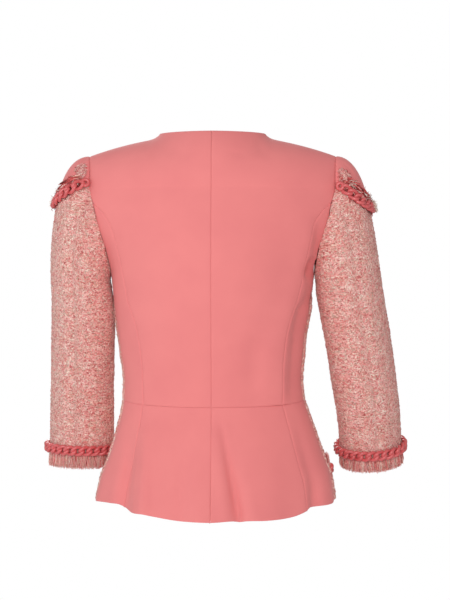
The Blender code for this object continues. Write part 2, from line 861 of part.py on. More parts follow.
def make_fringe(collection, name, path, down, fringe):
    """Strands that grow from a narrow strip; the strip's section is a thin wedge.

    down(distance) gives the direction in which the strands lie there.
    """
    strands = fringe.strands
    pitch = path.length / strands
    stations = strands if path.looped else strands + 1
    points = []
    for station in range(stations):
        point, _, normal, _ = path.at(station * pitch)
        hang = down(station * pitch)
        base = point + hang * fringe.offset + normal * fringe.gap
        points.append(base)
        points.append(base + hang * STRIP_WIDTH + normal * STRIP_THICKNESS)
        points.append(base + hang * STRIP_WIDTH)
    faces = []
    for strand in range(strands):
        here = 3 * strand
        after = 3 * ((strand + 1) % stations)
        top, outer, inner = here, here + 1, here + 2
        next_top, next_outer, next_inner = after, after + 1, after + 2
        faces.append([top, next_top, next_outer, outer])
        faces.append([top, inner, next_inner, next_top])
        corners = [outer, next_outer, next_inner, inner]
        middle = sum((points[corner] for corner in corners), Vector()) / 4
        _, along, normal, _ = path.at((strand + 0.5) * pitch)
        hang = down((strand + 0.5) * pitch)
        reach = fringe.length * (1 + STRAND_SPREAD * strand_noise(strand, fringe.seed))
        sway = along * strand_noise(strand, fringe.seed + 1) * pitch * STRAND_SWAY
        drift = hang * reach + normal * fringe.lift
        knee = []
        for corner in corners:
            narrowed = middle + (points[corner] - middle) * KNEE_SIZE
            knee.append(len(points))
            points.append(narrowed + drift * KNEE_PLACE + sway * KNEE_SWAY)
        tip = len(points)
        points.append(middle + drift + sway)
        for index in range(4):
            following = (index + 1) % 4
            faces.append([corners[index], corners[following], knee[following], knee[index]])
            faces.append([knee[index], knee[following], tip])
    if not path.looped:
        faces.append([0, 1, 2])
        last = 3 * strands
        faces.append([last + 2, last + 1, last])
    new_object(collection, name, points, faces, FRINGE, smooth_faces=False)


def flip_if_inside_out(collection):
    """Turn the faces of any closed mesh whose volume comes out negative."""
    for item in collection.objects:
        if item.modifiers:
            continue
        volume = 0.0
        mesh = item.data
        mesh.calc_loop_triangles()
        for triangle in mesh.loop_triangles:
            a, b, c = (mesh.vertices[index].co for index in triangle.vertices)
            volume += a.dot(b.cross(c))
        if volume < 0:
            mesh.flip_normals()


def shoulder_path(cap):
    """Along the lower edge of the sleeve head, from its front end to its back end."""
    def place(share):
        turn = math.radians(mix(-SHOULDER_CHAIN_SPAN, SHOULDER_CHAIN_SPAN, share))
        column = HEAD_REACH * math.sin(turn)
        reach = mix(HEAD_END, HEAD_DEPTH, math.cos(turn))
        return cap.point(column, reach), cap.normal(column, reach)
    return Path(place)


def shoulder_hang(side, path):
    """The shoulder strands lie upward, over the sleeve head."""
    def hang(distance):
        return path.at(distance)[3] * -side
    return hang


def cuff_path(side, height):
    def place(share):
        angle = 2 * math.pi * share
        point = tube_point(side, angle, height)
        return point, (tube_point(side, angle, height, outward=1) - point).normalized()
    return Path(place, looped=True)


def peplum_path(side, drop):
    def place(share):
        angle = PEPLUM_TRIM_START[side] + PEPLUM_TRIM_TURN * share
        around = peplum_point(side, angle + 1, drop) - peplum_point(side, angle - 1, drop)
        down = peplum_point(side, angle, drop + DROP_STEP) - peplum_point(side, angle, drop - DROP_STEP)
        normal = around.cross(down).normalized() * side
        return peplum_point(side, angle, drop), normal
    return Path(place)


def peplum_hang(side, drop):
    path = peplum_path(side, drop)

    def hang(distance):
        angle = PEPLUM_TRIM_START[side] + PEPLUM_TRIM_TURN * distance / path.length
        return (peplum_point(side, angle, drop + DROP_STEP) - peplum_point(side, angle, drop)).normalized()
    return hang


def make_trims(collection, side, cap):
    """Three chains with a fringe beside each."""
    axis = sleeve_axis(side, SLEEVE_HEM)
    shoulder = shoulder_path(cap)
    chains = {
        "shoulder": shoulder,
        "cuff": cuff_path(side, CUFF_CHAIN_HEIGHT),
        "peplum": peplum_path(side, PEPLUM_CHAIN_DROP),
    }
    strips = {
        "shoulder": shoulder,
        "cuff": cuff_path(side, SLEEVE_HEM),
        "peplum": peplum_path(side, PEPLUM_STRIP_DROP),
    }
    hangs = {
        "shoulder": shoulder_hang(side, shoulder),
        "cuff": lambda distance: axis,
        "peplum": peplum_hang(side, PEPLUM_STRIP_DROP),
    }
    for place, fringe in FRINGES.items():
        name = SIDE_NAMES[side]
        make_chain(collection, place + "_chain_" + name, chains[place])
        make_fringe(collection, place + "_fringe_" + name, strips[place], hangs[place], fringe)


def main():
    collection = new_collection()
    for side in (LEFT, RIGHT):
        cap = Cap(side)
        make_back(collection, side)
        make_side_back(collection, side)
        make_front(collection, side)
        make_peplum(collection, side)
        make_sleeve(collection, side, cap)
        make_sleeve_head(collection, side, cap)
        make_trims(collection, side, cap)
    flip_if_inside_out(collection)


main()
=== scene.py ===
"""Looks of the cropped tweed jacket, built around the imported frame.

The frame is in metres: +Z is up, the front faces -Y and the wearer's left is at
+X.  The shape functions below work in millimetres on whole arrays of points, and
the meshes are written in metres.
"""

import math
from collections import namedtuple

import bpy
import numpy as np
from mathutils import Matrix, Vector


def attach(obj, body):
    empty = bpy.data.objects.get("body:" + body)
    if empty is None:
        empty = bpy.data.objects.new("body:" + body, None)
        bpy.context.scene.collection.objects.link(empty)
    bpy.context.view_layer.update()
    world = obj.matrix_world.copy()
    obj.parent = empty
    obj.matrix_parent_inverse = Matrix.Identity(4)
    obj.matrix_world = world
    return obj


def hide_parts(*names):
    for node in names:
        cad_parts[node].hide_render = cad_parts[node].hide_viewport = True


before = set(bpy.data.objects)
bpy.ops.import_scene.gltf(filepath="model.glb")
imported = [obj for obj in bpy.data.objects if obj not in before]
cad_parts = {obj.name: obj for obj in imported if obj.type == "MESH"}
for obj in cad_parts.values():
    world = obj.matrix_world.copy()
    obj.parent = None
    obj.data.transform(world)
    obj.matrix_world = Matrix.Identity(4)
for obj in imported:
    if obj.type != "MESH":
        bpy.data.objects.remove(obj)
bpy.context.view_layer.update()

MILLIMETRE = 0.001
LEFT = 1
RIGHT = -1
SIDE_NAMES = {LEFT: "left", RIGHT: "right"}
RANDOM = np.random.default_rng(24)

# --- sizes, as in the solids (millimetres) ---

CREPE_THICKNESS = 1.3
TWEED_THICKNESS = 1.8
SEAM_MARGIN = 0.05            # each panel stops this far short of its seam line
FRONT_EDGE_MARGIN = 0.8
SLEEVE_CLEARANCE = 0.15

WAIST = -370
UNDERARM = -192
BACK_ROLL = -75
FRONT_ROLL = -104
FRONT_ROLL_ARMHOLE = -78
HEM = -509
PRINCESS_TOP = -95
SIDE_BACK_TOP = -96           # the side back's point ends just below it
NECK_HALF_WIDTH = 74
SHOULDER_HALF_WIDTH = 172
SHOULDER_TOP = -2.3
SHOULDER_SLOPE = 0.15
SHOULDER_ROUND = 0.00105
NECK_RISE = 6.5
NECK_RISE_SPREAD = 5
NECK_SIDE_DEPTH = 2
NECK_BACK_DEPTH = 60
NECK_BACK_HEIGHT = 5
NECK_FRONT_DEPTH = -72
NECK_FRONT_HEIGHT = -75
WAIST_SEAM_DIP = 8
WAIST_SIDE_RISE = 3
WAIST_DIP_FADES_AT = -300
NECK_TURN = 48
SHOULDER_TURN = 90
NECK_SHARE = {"back": 3 / 8, "front": 4 / 10}      # the neckline's share of a top edge
TURN_GROWS_BEFORE = {"back": 2 / 8, "front": 2 / 10}
TURN_GROWS_OVER = {"back": 3 / 8, "front": 3 / 10}
PEPLUM_SEAM_ANGLE = 50.5
FLUTE_GROWTH = 1.3
BUST_ACROSS = 70
BUST_HEIGHT = -215
BUST_DEPTH = 9
BUST_SPREAD = (42, 55)

SLEEVE_TOP = -215
SLEEVE_HEM = -445
CUFF_LEVEL = {LEFT: 0.47, RIGHT: 1.0}
CAP_FULLNESS = {LEFT: 150, RIGHT: 130}
CAP_LEAVES_UNDERARM = 12
CAP_FLARE = 45
CAP_FALL = (55, 12)
CAP_ARRIVES = (30, 150)
AXIS_STEP = 12
HEAD_DEPTH = {LEFT: 0.45, RIGHT: 0.50}
HEAD_END = 0.022
HEAD_REACH = {LEFT: 5.2, RIGHT: 5.55}          # armhole steps to where the head's lower edge ends
HEAD_SQUARENESS = {LEFT: 0.5, RIGHT: 0.4}      # 0.5 makes that edge half an ellipse
HEAD_STEPS = 6                # armhole steps from the shoulder tip to the head's end
ARMHOLE_STEPS = 23
BACK_ROWS = [-165, -138, -115, -102, -95]
FRONT_ROW_SHARES = [0.2, 0.42, 0.65, 0.84, 1.0]

SHOULDER_CHAIN_SPAN = 88      # degrees of the sleeve head's half ellipse, each way
CUFF_CHAIN_HEIGHT = -437.5
PEPLUM_CHAIN_DROP = 0.7
PEPLUM_STRIP_DROP = 0.76
PEPLUM_TRIM_START = {LEFT: 104, RIGHT: 93.5}
PEPLUM_TRIM_TURN = 52


def mix(start, end, share):
    return start + (end - start) * share


def smooth(share):
    share = np.clip(share, 0, 1)
    return share * share * (3 - 2 * share)


def hermite(start, end, start_slope, end_slope, share):
    """A cubic from start to end; works on numbers and on arrays of points."""
    square = share * share
    cube = square * share
    return (
        start * (2 * cube - 3 * square + 1)
        + start_slope * (cube - 2 * square + share)
        + end * (3 * square - 2 * cube)
        + end_slope * (cube - square)
    )


def points_at(x, y, z):
    """An array of points from arrays or numbers for each coordinate."""
    return np.stack(np.broadcast_arrays(x, y, z), axis=-1).astype(float)


def unit(vectors):
    return vectors / np.maximum(np.linalg.norm(vectors, axis=-1, keepdims=True), 1e-9)


def square_to(axis, vector):
    """A unit vector square to an axis, as near to another vector as it can be."""
    return unit(vector - axis * np.sum(vector * axis, -1, keepdims=True))


class Table:
    """Rows of numbers under named columns, read along a smooth curve."""

    def __init__(self, columns, rows):
        data = np.array(sorted(rows), float)
        self.rows = data
        self.places = data[:, 0]
        self.values = dict(zip(columns.split(), data.T))
        self.slopes = {name: self.slopes_of(values) for name, values in self.values.items()}

    def slopes_of(self, values):
        chords = np.diff(values) / np.diff(self.places)
        before, after = chords[:-1], chords[1:]
        same_way = before * after > 0
        safe = np.where(same_way, before + after, 1)
        inner = np.where(same_way, 2 * before * after / safe, 0)
        return np.concatenate([chords[:1], inner, chords[-1:]])

    def read(self, column, place):
        values, slopes = self.values[column], self.slopes[column]
        place = np.clip(place, self.places[0], self.places[-1])
        first = np.searchsorted(self.places, place, side="right") - 1
        first = np.clip(first, 0, len(self.places) - 2)
        width = self.places[first + 1] - self.places[first]
        share = (place - self.places[first]) / width
        return hermite(
            values[first], values[first + 1], slopes[first] * width, slopes[first + 1] * width, share
        )


# Level hoops from hem to underarm: half widths to the wearer's left and right,
# centre back, centre front, and where the side seam lies
HOOPS = Table("height left right back front side", [
    (-509, 162, 170, 133, -127, 6),
    (-477, 155, 165, 121, -118, 5),
    (-444, 142.5, 153, 107, -108, 4),
    (-410, 132.5, 141, 94, -98, 4),
    (-385, 126, 132, 84, -92, 4),
    (-370, 124, 127, 80, -90, 4),
    (-343, 123, 124, 83, -94, 4),
    (-309, 127, 126.5, 90, -103, 4),
    (-276, 131.5, 129.5, 97, -112, 3),
    (-234, 137.5, 137, 103, -119, 1),
    (-192, 142, 142, 106, -118, 0),
])

# Above the underarm: the centre, the armhole edge, and how far round the hoop has
# turned (degrees) when it reaches that edge
UPPER_COLUMNS = "height centre edge_x edge_y turn"
UPPER = {
    "back": Table(UPPER_COLUMNS, [
        (-192, 106, 142, 0, 90),
        (-180, 106, 143.5, 17, 78),
        (-158, 105, 148, 30, 68),
        (-127, 102, 157, 41, 58),
        (-104, 98, 162.5, 44, 52),
        (-75, 91, 170, 37, 48),
    ]),
    "front": Table(UPPER_COLUMNS, [
        (-192, -118, 142, 0, 90),
        (-180, -115.5, 142.5, -19, 78),
        (-158, -108, 144, -36, 68),
        (-127, -95, 149, -48, 60),
        (-104, -84, 156, -51, 56),
        (-78, -73, 165, -42, 52),
    ]),
}

# Back princess seam, from the armhole to the waist
PRINCESS = Table("height across", [
    (-370, 94), (-330, 94.6), (-313, 96), (-285, 99.5), (-257, 105.6), (-225, 116.5),
    (-190, 122.5), (-158, 130), (-128, 138.7), (-106, 152), (-95, 164.4),
])

# Peplum flutes at the hem: degrees from centre back, + to the wearer's left
FLUTES = Table("angle depth spread", [
    (-158, 4, 9), (-137, -5, 8), (-118, 5, 9), (-72, 4, 8), (-58, -6, 5),
    (-25, 4, 9), (-12, -6.5, 5), (5, 4, 8), (15, -2.5, 5), (35, 6, 9),
    (51, -6, 5), (75, 4, 8), (118, 5, 9), (137, -5, 8), (158, 4, 9),
])

# Height of the hem round the body, from centre back to centre front
HEM_LINE = Table("angle left right", [
    (0, -526, -526), (15, -524.5, -525), (30, -518.5, -524), (40, -515.5, -521.5),
    (48, -511.5, -516.5), (55, -506, -511), (65, -505.5, -509.5), (90, -507, -506),
    (130, -509, -509), (180, -518, -518),
])

SLEEVE_COLUMNS = "height across depth half_width half_depth"
SLEEVES = {
    LEFT: Table(SLEEVE_COLUMNS, [
        (-445, 188.4, -66, 45.8, 41),
        (-390, 187.4, -55, 45.2, 43),
        (-340, 185.7, -43, 44.7, 46),
        (-290, 184, -29, 44.7, 49),
        (-245, 182.3, -15, 44.4, 50.5),
        (-215, 184, -8, 42.3, 51),
    ]),
    RIGHT: Table(SLEEVE_COLUMNS, [
        (-445, 223.8, -52, 43.6, 41),
        (-390, 219.6, -37, 44.2, 43),
        (-340, 212.2, -26, 45.6, 46),
        (-290, 204.9, -17, 45.9, 49),
        (-245, 196.6, -11, 46.3, 50.5),
        (-215, 191.5, -8, 46.5, 51),
    ]),
}

# Creases, each a soft trough (-) or ridge (+) from one point to another.  Places
# are millimetres across the body (+ to the wearer's left) and height.
BACK_CREASES = [
    # x, z, end x, end z, bend, width, depth
    (-58, -372, -66, -262, 6, 11, -1.3),
    (-75, -368, -88, -270, 5, 9, 1.0),
    (-45, -150, -60, -330, 10, 22, 0.9),
    (-105, -362, -96, -300, -3, 7, -0.7),
    (112, -340, 100, -245, 6, 12, -1.0),
    (136, -206, 108, -214, -3, 4.5, -1.2),
    (133, -222, 112, -227, 2, 4, -0.9),
    (138, -192, 118, -188, 2, 6, 0.8),
    (-147, -112, -139, -168, 0, 8, -3.5),
    (-140, -168, -127, -200, 0, 7, -7.0),
    (-137, -212, -121, -248, 3, 6, -3.2),
    (-127, -204, -116, -238, 2, 5, 1.3),
    (-123, -205, -109, -372, 0, 10, -5.5),
    (-66, -16, -30, -38, -4, 9, -0.8),
    (66, -18, 34, -36, 4, 9, -0.7),
    (-148, -60, -110, -88, 5, 16, -0.9),
    (146, -62, 112, -92, -5, 16, -0.8),
    (0, -372, 4, -330, 0, 12, -0.6),
    (-20, -25, -50, -27, -1, 4, -0.6),
    (-36, -250, -40, -350, 3, 14, 0.5),
    (-62, -2, -69, -30, 0, 4, -1.0),
    (-73, -2, -79, -28, 0, 4, 1.0),
    (84, -4, 92, -22, 0, 5, -0.8),
    (76, -2, 84, -24, 0, 5, 0.8),
]
# The back peplum's flutes run on past the hem, so that they are deepest there
PEPLUM_CREASES = [
    (-12, -392, -63, -640, 0, 4.2, -5.2),
    (0, -396, -46, -650, 0, 9, 2.6),
    (-26, -405, -90, -650, 0, 11, 2.2),
    (113, -395, 118, -640, 0, 8, -4.2),
    (90, -400, 94, -640, 0, 8, 3.6),
    (40, -445, 38, -640, 0, 6, -1.2),
    (-84, -420, -92, -650, 0, 14, 1.0),
    (-138, -465, -142, -640, 0, 7, -2.0),
    (-151, -465, -156, -640, 0, 7, 1.4),
]
FRONT_CREASES = [
    (128, -300, 60, -222, 8, 11, -1.6),
    (126, -330, 70, -268, 7, 10, -1.3),
    (-127, -296, -64, -218, -8, 12, -1.5),
    (-125, -336, -74, -276, -6, 10, -1.2),
    (24, -360, 30, -270, 3, 10, -0.9),
    (-30, -362, -26, -262, -3, 11, -1.0),
    (140, -190, 96, -160, 6, 9, -1.4),
    (-141, -192, -98, -158, -6, 9, -1.3),
]
# On a sleeve the first place is the angle round it in degrees: 0 outside, 90 back
SLEEVE_CREASES = {
    LEFT: [
        (130, -236, 78, -262, 5, 9, -1.4),
        (170, -262, 96, -292, 6, 9, -1.3),
        (186, -300, 120, -322, -6, 10, -1.2),
        (60, -300, 12, -330, 5, 12, -0.9),
        (196, -346, 118, -368, 7, 11, -1.2),
        (96, -392, 40, -410, 5, 13, -0.8),
        (300, -300, 230, -330, 8, 11, -2.0),
        (310, -330, 236, -352, -6, 10, -1.7),
        (284, -256, 226, -290, 7, 11, -1.8),
    ],
    RIGHT: [
        (96, -90, 92, -132, 1, 4.5, -2.2),
        (62, -98, 56, -142, 1, 4, -1.8),
        (122, -94, 112, -126, 0, 5, -1.2),
        (138, -240, 70, -258, 6, 9, -1.3),
        (176, -270, 106, -296, 6, 9, -1.4),
        (150, -312, 70, -330, -6, 11, -1.1),
        (54, -270, 6, -296, 6, 12, -1.0),
        (188, -350, 112, -378, 7, 11, -1.1),
        (80, -400, 20, -414, -5, 13, -0.9),
        (296, -290, 226, -322, 8, 11, -2.0),
        (306, -322, 238, -346, -6, 10, -1.7),
        (290, -250, 222, -280, 7, 11, -1.7),
    ],
}
# On a sleeve head the places are millimetres round the armhole from the shoulder tip
# (+ to the back) and down from it
HEAD_CREASES = {
    LEFT: [
        (8, -3, 24, -17, 0, 2.6, -1.6),
        (30, -2, 36, -20, 2, 4, 0.9),
        (-12, -3, -20, -30, -3, 5, -0.8),
    ],
    RIGHT: [
        (22, -4, 26, -36, 3, 3.5, -1.0),
        (-6, -4, -2, -30, 2, 5, -0.6),
        (-24, -3, -28, -24, -2, 4, -0.8),
    ],
}
HEAD_STEP_SIZE = 9            # about one armhole step
SLEEVE_RADIUS = 46
CREASE_FADE = 0.7             # a crease's depth follows this power of a sine
# Short steps that measure directions: armhole steps, shares of a cap, degrees round the
# peplum and shares of its drop
COLUMN_STEP = 0.3
SHARE_STEP = 0.02
ANGLE_STEP = 1
DROP_STEP = 0.03


# --- shape functions ---

def hoop_point(side, angle, height):
    turn = np.radians(angle)
    seam = HOOPS.read("side", height)
    back = np.abs(HOOPS.read("back", height) - seam)
    front = np.abs(HOOPS.read("front", height) - seam)
    across = HOOPS.read(SIDE_NAMES[side], height) * np.sin(turn)
    return across, seam + np.where(angle <= 90, back, front) * np.cos(turn)


def waist_drop(angle):
    return WAIST_SIDE_RISE - WAIST_SEAM_DIP * np.abs(np.cos(np.radians(angle)))


def upper_point(table, share, height):
    turn = np.radians(table.read("turn", height))
    angle = turn * share
    across = table.read("edge_x", height) * np.sin(angle) / np.sin(turn)
    reach = (np.cos(angle) - np.cos(turn)) / (1 - np.cos(turn))
    return across, mix(table.read("edge_y", height), table.read("centre", height), reach)


def bust(across, height):
    along = (across - BUST_ACROSS) / BUST_SPREAD[0]
    up = (height - BUST_HEIGHT) / BUST_SPREAD[1]
    return BUST_DEPTH * np.exp(-along * along - up * up)


def bodice_point(side, face, share, height):
    """A bodice point below the roll; share 0 is the centre, 1 the side or armhole."""
    share, height = np.broadcast_arrays(np.asarray(share, float), np.asarray(height, float))
    angle = 180 - 90 * share if face == "front" else 90 * share
    low_across, low_depth = hoop_point(side, angle, height)
    high_across, high_depth = upper_point(UPPER[face], share, height)
    is_high = height > UNDERARM
    across = np.where(is_high, high_across, low_across)
    depth = np.where(is_high, high_depth, low_depth)
    fade = smooth((WAIST_DIP_FADES_AT - height) / (WAIST_DIP_FADES_AT - WAIST))
    drop = np.where(is_high, 0, waist_drop(angle) * fade)
    if face == "front":
        depth = depth - bust(across, height)
    return points_at(side * across, depth, height + drop)


def shoulder_height(across):
    from_neck = across - NECK_HALF_WIDTH
    rise = NECK_RISE * np.exp(-np.maximum(from_neck, 0) / NECK_RISE_SPREAD)
    return SHOULDER_TOP - SHOULDER_SLOPE * from_neck - SHOULDER_ROUND * from_neck ** 2 + rise


def top_edge_point(face, share):
    """The neckline, then the shoulder seam, from the centre outward."""
    neck_share = NECK_SHARE[face]
    neck_height = shoulder_height(NECK_HALF_WIDTH)
    turn = np.radians(90 * np.minimum(share / neck_share, 1))
    if face == "front":
        depth = mix(NECK_SIDE_DEPTH, NECK_FRONT_DEPTH, np.cos(turn))
        height = mix(neck_height, NECK_FRONT_HEIGHT, np.cos(turn))
    else:
        depth = mix(NECK_SIDE_DEPTH, NECK_BACK_DEPTH, np.cos(turn))
        height = mix(NECK_BACK_HEIGHT, neck_height, np.sin(turn))
    neckline = points_at(NECK_HALF_WIDTH * np.sin(turn), depth, height)
    past = np.clip((share - neck_share) / (1 - neck_share), 0, 1)
    across = mix(NECK_HALF_WIDTH, SHOULDER_HALF_WIDTH, past)
    shoulder = points_at(across, mix(NECK_SIDE_DEPTH, 0, past), shoulder_height(across))
    return np.where((share <= neck_share)[..., None], neckline, shoulder)


def roll_start(face, share):
    if face == "front":
        return mix(FRONT_ROLL, FRONT_ROLL_ARMHOLE, smooth(share))
    return BACK_ROLL + 0 * share


def roll_point(side, face, across_share, share):
    """A point on the turn-over between the panel's face and its top edge."""
    across_share, share = np.broadcast_arrays(np.asarray(across_share, float), np.asarray(share, float))
    start = bodice_point(side, face, across_share, roll_start(face, across_share))
    end = top_edge_point(face, across_share) * (side, 1, 1)
    before = across_share - NECK_SHARE[face] + TURN_GROWS_BEFORE[face]
    full_turn = np.radians(mix(NECK_TURN, SHOULDER_TURN, smooth(before / TURN_GROWS_OVER[face])))
    angle = full_turn * share
    rise = np.sin(angle) / np.sin(full_turn)
    inward = (1 - np.cos(angle)) / (1 - np.cos(full_turn))
    return points_at(
        mix(start[..., 0], end[..., 0], inward),
        mix(start[..., 1], end[..., 1], inward),
        mix(start[..., 2], end[..., 2], rise),
    )


def princess_share(height):
    """Where the princess seam crosses the back, as a share of the hoop's turn."""
    across = PRINCESS.read("across", height)
    is_high = height > UNDERARM
    turn = np.radians(np.where(is_high, UPPER["back"].read("turn", height), 90))
    edge = np.where(is_high, UPPER["back"].read("edge_x", height), HOOPS.read("left", height))
    return np.arcsin(np.minimum(across * np.sin(turn) / edge, np.sin(turn))) / turn


def peplum_point(side, angle, drop):
    """A peplum point; drop 0 is the waist seam and 1 the hem."""
    height = mix(WAIST, HEM, drop)
    across, depth = hoop_point(side, angle, height)
    turn = np.radians(angle)
    out = 0
    for flute_angle, flute_depth, spread in FLUTES.rows:
        distance = (side * angle - flute_angle) / spread
        out = out + flute_depth * np.exp(-distance * distance)
    out = out * np.maximum(drop, 0) ** FLUTE_GROWTH
    lower = mix(waist_drop(angle), HEM_LINE.read(SIDE_NAMES[side], angle) - HEM, drop)
    return points_at(side * (across + out * np.sin(turn)), depth + out * np.cos(turn), height + lower)


def sleeve_centre(side, height):
    table = SLEEVES[side]
    return points_at(side * table.read("across", height), table.read("depth", height), height)


def sleeve_axis(side, height):
    low = np.maximum(height - AXIS_STEP, SLEEVE_HEM)
    high = np.minimum(height + AXIS_STEP, SLEEVE_TOP)
    return unit(sleeve_centre(side, low) - sleeve_centre(side, high))


def tube_point(side, angle, height, outward=0.0):
    """A point on the sleeve's tube, on a ring about square to its centre line."""
    table = SLEEVES[side]
    axis = unit(sleeve_axis(side, height) * (1, CUFF_LEVEL[side], 1))
    outer = square_to(axis, np.array((side, 0.0, 0.0)))
    back = square_to(axis, np.array((0.0, 1.0, 0.0)))
    wide = (table.read("half_width", height) + outward) * np.cos(angle)
    deep = (table.read("half_depth", height) + outward) * np.sin(angle)
    return sleeve_centre(side, height) + outer * wide[..., None] + back * deep[..., None]


class Cap:
    """The top of a sleeve, from the armhole to the first full ring of the tube."""

    def __init__(self, side):
        self.side = side
        roll = np.arange(HEAD_STEPS, 0, -1) / HEAD_STEPS
        start = roll_start("front", 1.0)
        low_heights = np.array([BACK_ROLL] + BACK_ROWS[::-1] + [UNDERARM])
        front_heights = mix(UNDERARM, start, np.array(FRONT_ROW_SHARES))
        self.ring = np.concatenate([
            roll_point(side, "back", 1, roll),
            bodice_point(side, "back", 1, low_heights),
            bodice_point(side, "front", 1, front_heights),
            roll_point(side, "front", 1, roll[:0:-1]),
        ])
        self.underarm = len(roll) + len(low_heights) - 1
        steps = np.linalg.norm(np.roll(self.ring, -1, 0) - self.ring, axis=1)
        lengths = np.concatenate([[0], np.cumsum(steps)])
        half = lengths[self.underarm]
        down = np.pi * lengths / half
        up = np.pi + np.pi * (lengths - half) / (lengths[-1] - half)
        self.angles = np.where(np.arange(len(lengths)) <= self.underarm, down, up)

    def edge(self, column):
        """The armhole edge, on a smooth closed curve through its points."""
        index = np.floor(column).astype(int)
        share = (column - index)[..., None]
        before, first, second, after = (
            self.ring[(index + step) % ARMHOLE_STEPS] for step in (-1, 0, 1, 2)
        )
        return hermite(first, second, (second - before) / 2, (after - first) / 2, share)

    def angle(self, column):
        turns = np.floor(column / ARMHOLE_STEPS)
        place = column - turns * ARMHOLE_STEPS
        return np.interp(place, np.arange(ARMHOLE_STEPS + 1), self.angles) + 2 * np.pi * turns

    def point(self, column, share):
        """Share 0 is the armhole edge and 1 the tube's first ring."""
        column, share = np.broadcast_arrays(np.asarray(column, float), np.asarray(share, float))
        angle = self.angle(column)
        start = self.edge(column) + (self.side * SLEEVE_CLEARANCE, 0, 0)
        end = tube_point(self.side, angle, np.full_like(angle, SLEEVE_TOP))
        top = np.cos(angle / 2) ** 2
        start_slope = points_at(
            self.side * (CAP_FULLNESS[self.side] * top + CAP_LEAVES_UNDERARM),
            CAP_FLARE * np.sin(angle),
            -mix(*CAP_FALL, top),
        )
        axis = sleeve_axis(self.side, np.array(SLEEVE_TOP))
        end_slope = axis * mix(*CAP_ARRIVES, top)[..., None]
        return hermite(start, end, start_slope, end_slope, share[..., None])

    def normal(self, column, share):
        around = self.point(column + COLUMN_STEP, share) - self.point(column - COLUMN_STEP, share)
        above = self.point(column, np.maximum(share - SHARE_STEP, 0))
        down = self.point(column, share + SHARE_STEP) - above
        return unit(np.cross(around, down)) * -self.side

    def head_share(self, column):
        """Where the sleeve head ends and the tweed sleeve begins."""
        reach = np.minimum(np.abs(column) / HEAD_REACH[self.side], 1)
        return mix(HEAD_END, HEAD_DEPTH[self.side], (1 - reach * reach) ** HEAD_SQUARENESS[self.side])


CAPS = {side: Cap(side) for side in (LEFT, RIGHT)}


# --- materials ---

def srgb(red, green, blue):
    """A display colour, 0 to 255, as linear values."""
    values = []
    for value in (red, green, blue):
        value = value / 255
        values.append(value / 12.92 if value <= 0.04045 else ((value + 0.055) / 1.055) ** 2.4)
    return (*values, 1)


WHITE = srgb(255, 255, 255)


def add_node(tree, kind, inputs=(), **settings):
    """A shader node; each input is a value, or the socket that it is linked to."""
    made = tree.nodes.new("ShaderNode" + kind)
    for key, value in settings.items():
        setattr(made, key, value)
    for socket, value in dict(inputs).items():
        if isinstance(value, bpy.types.NodeSocket):
            tree.links.new(value, made.inputs[socket])
        else:
            made.inputs[socket].default_value = value
    return made


# How fine each pattern is, in steps per metre of cloth or chain
CREPE_GRAIN = 1500
CREPE_RIBS = (380, 1500, 1)
CREPE_CLOUD = 18
TWEED_WANDER = 380
WEFT_PATCHES = 520
TWEED_SLUBS = (45, 560, 1)
TWEED_WARMTH = 60
CHAIN_WEAR = 240
YARN_TWIST = (900, 14, 1)     # from one colour to the next, and along one yarn
# Where in a pattern one look gives way to the next
CELL_ROUND = (0.2, 0.75)
WEFT_SHOWS = (0.44, 0.52)
SLUB_SHOWS = (0.57, 0.68)
# How strongly each pattern tints the colour, or joins in the relief
GRAIN_TINT = 0.12
RIB_RELIEF = 0.4
# painted shade in the gaps between the tweed's yarn flecks
GAP_SHADE_STRENGTH = 0.6
SLUB_TINT = 0.5
WARMTH_TINT = 0.7
# painted shade in the twist of each loose yarn
TWIST_SHADE_STRENGTH = 0.6
# The relief's height in metres, and its strength
CREPE_BUMP = (0.0002, 0.6)
TWEED_BUMP = (0.0008, 0.7)
YARN_BUMP = (0.0002, 0.5)
CHAIN_BUMP = (0.0002, 0.3)


class Shader:
    """A material and short ways to add nodes to it; each one returns a socket."""

    def __init__(self, name, **sockets):
        self.material = bpy.data.materials.new(name)
        self.material.use_nodes = True
        self.tree = self.material.node_tree
        self.principled = self.tree.nodes["Principled BSDF"]
        for socket, value in sockets.items():
            self.principled.inputs[socket.replace("_", " ")].default_value = value

    def node(self, kind, inputs=(), output=0, **settings):
        return add_node(self.tree, kind, inputs, **settings).outputs[output]

    def vector(self, operation, first, second):
        key = "Scale" if operation == "SCALE" else 1
        return self.node("VectorMath", {0: first, key: second}, operation=operation)

    def ramp(self, factor, stops, interpolation="LINEAR"):
        made = add_node(self.tree, "ValToRGB", {"Fac": factor})
        made.color_ramp.interpolation = interpolation
        elements = made.color_ramp.elements
        while len(elements) < len(stops):
            elements.new(0.5)
        for element, (place, colour) in zip(elements, stops):
            element.position = place
            element.color = colour
        return made.outputs["Color"]

    def rise(self, value, low, high, start=0, end=1):
        """From start to end as the value goes from low to high."""
        return self.node("MapRange", {0: value, 1: low, 2: high, 3: start, 4: end})

    def mixed(self, factor, first, second, blend="MIX"):
        return self.node("Mix", {0: factor, 6: first, 7: second}, 2, data_type="RGBA", blend_type=blend)

    def stretched(self, vector, scale):
        return self.node("Mapping", {"Vector": vector, "Scale": scale})

    def noise(self, vector, scale, detail=2, roughness=0.5, output="Fac"):
        settings = {"Vector": vector, "Scale": scale, "Detail": detail, "Roughness": roughness}
        return self.node("TexNoise", settings, output)

    def finish(self, colour, height, bump):
        distance, strength = bump
        normal = self.node("Bump", {"Height": height, "Strength": strength, "Distance": distance})
        self.tree.links.new(colour, self.principled.inputs["Base Color"])
        self.tree.links.new(normal, self.principled.inputs["Normal"])
        return self.material


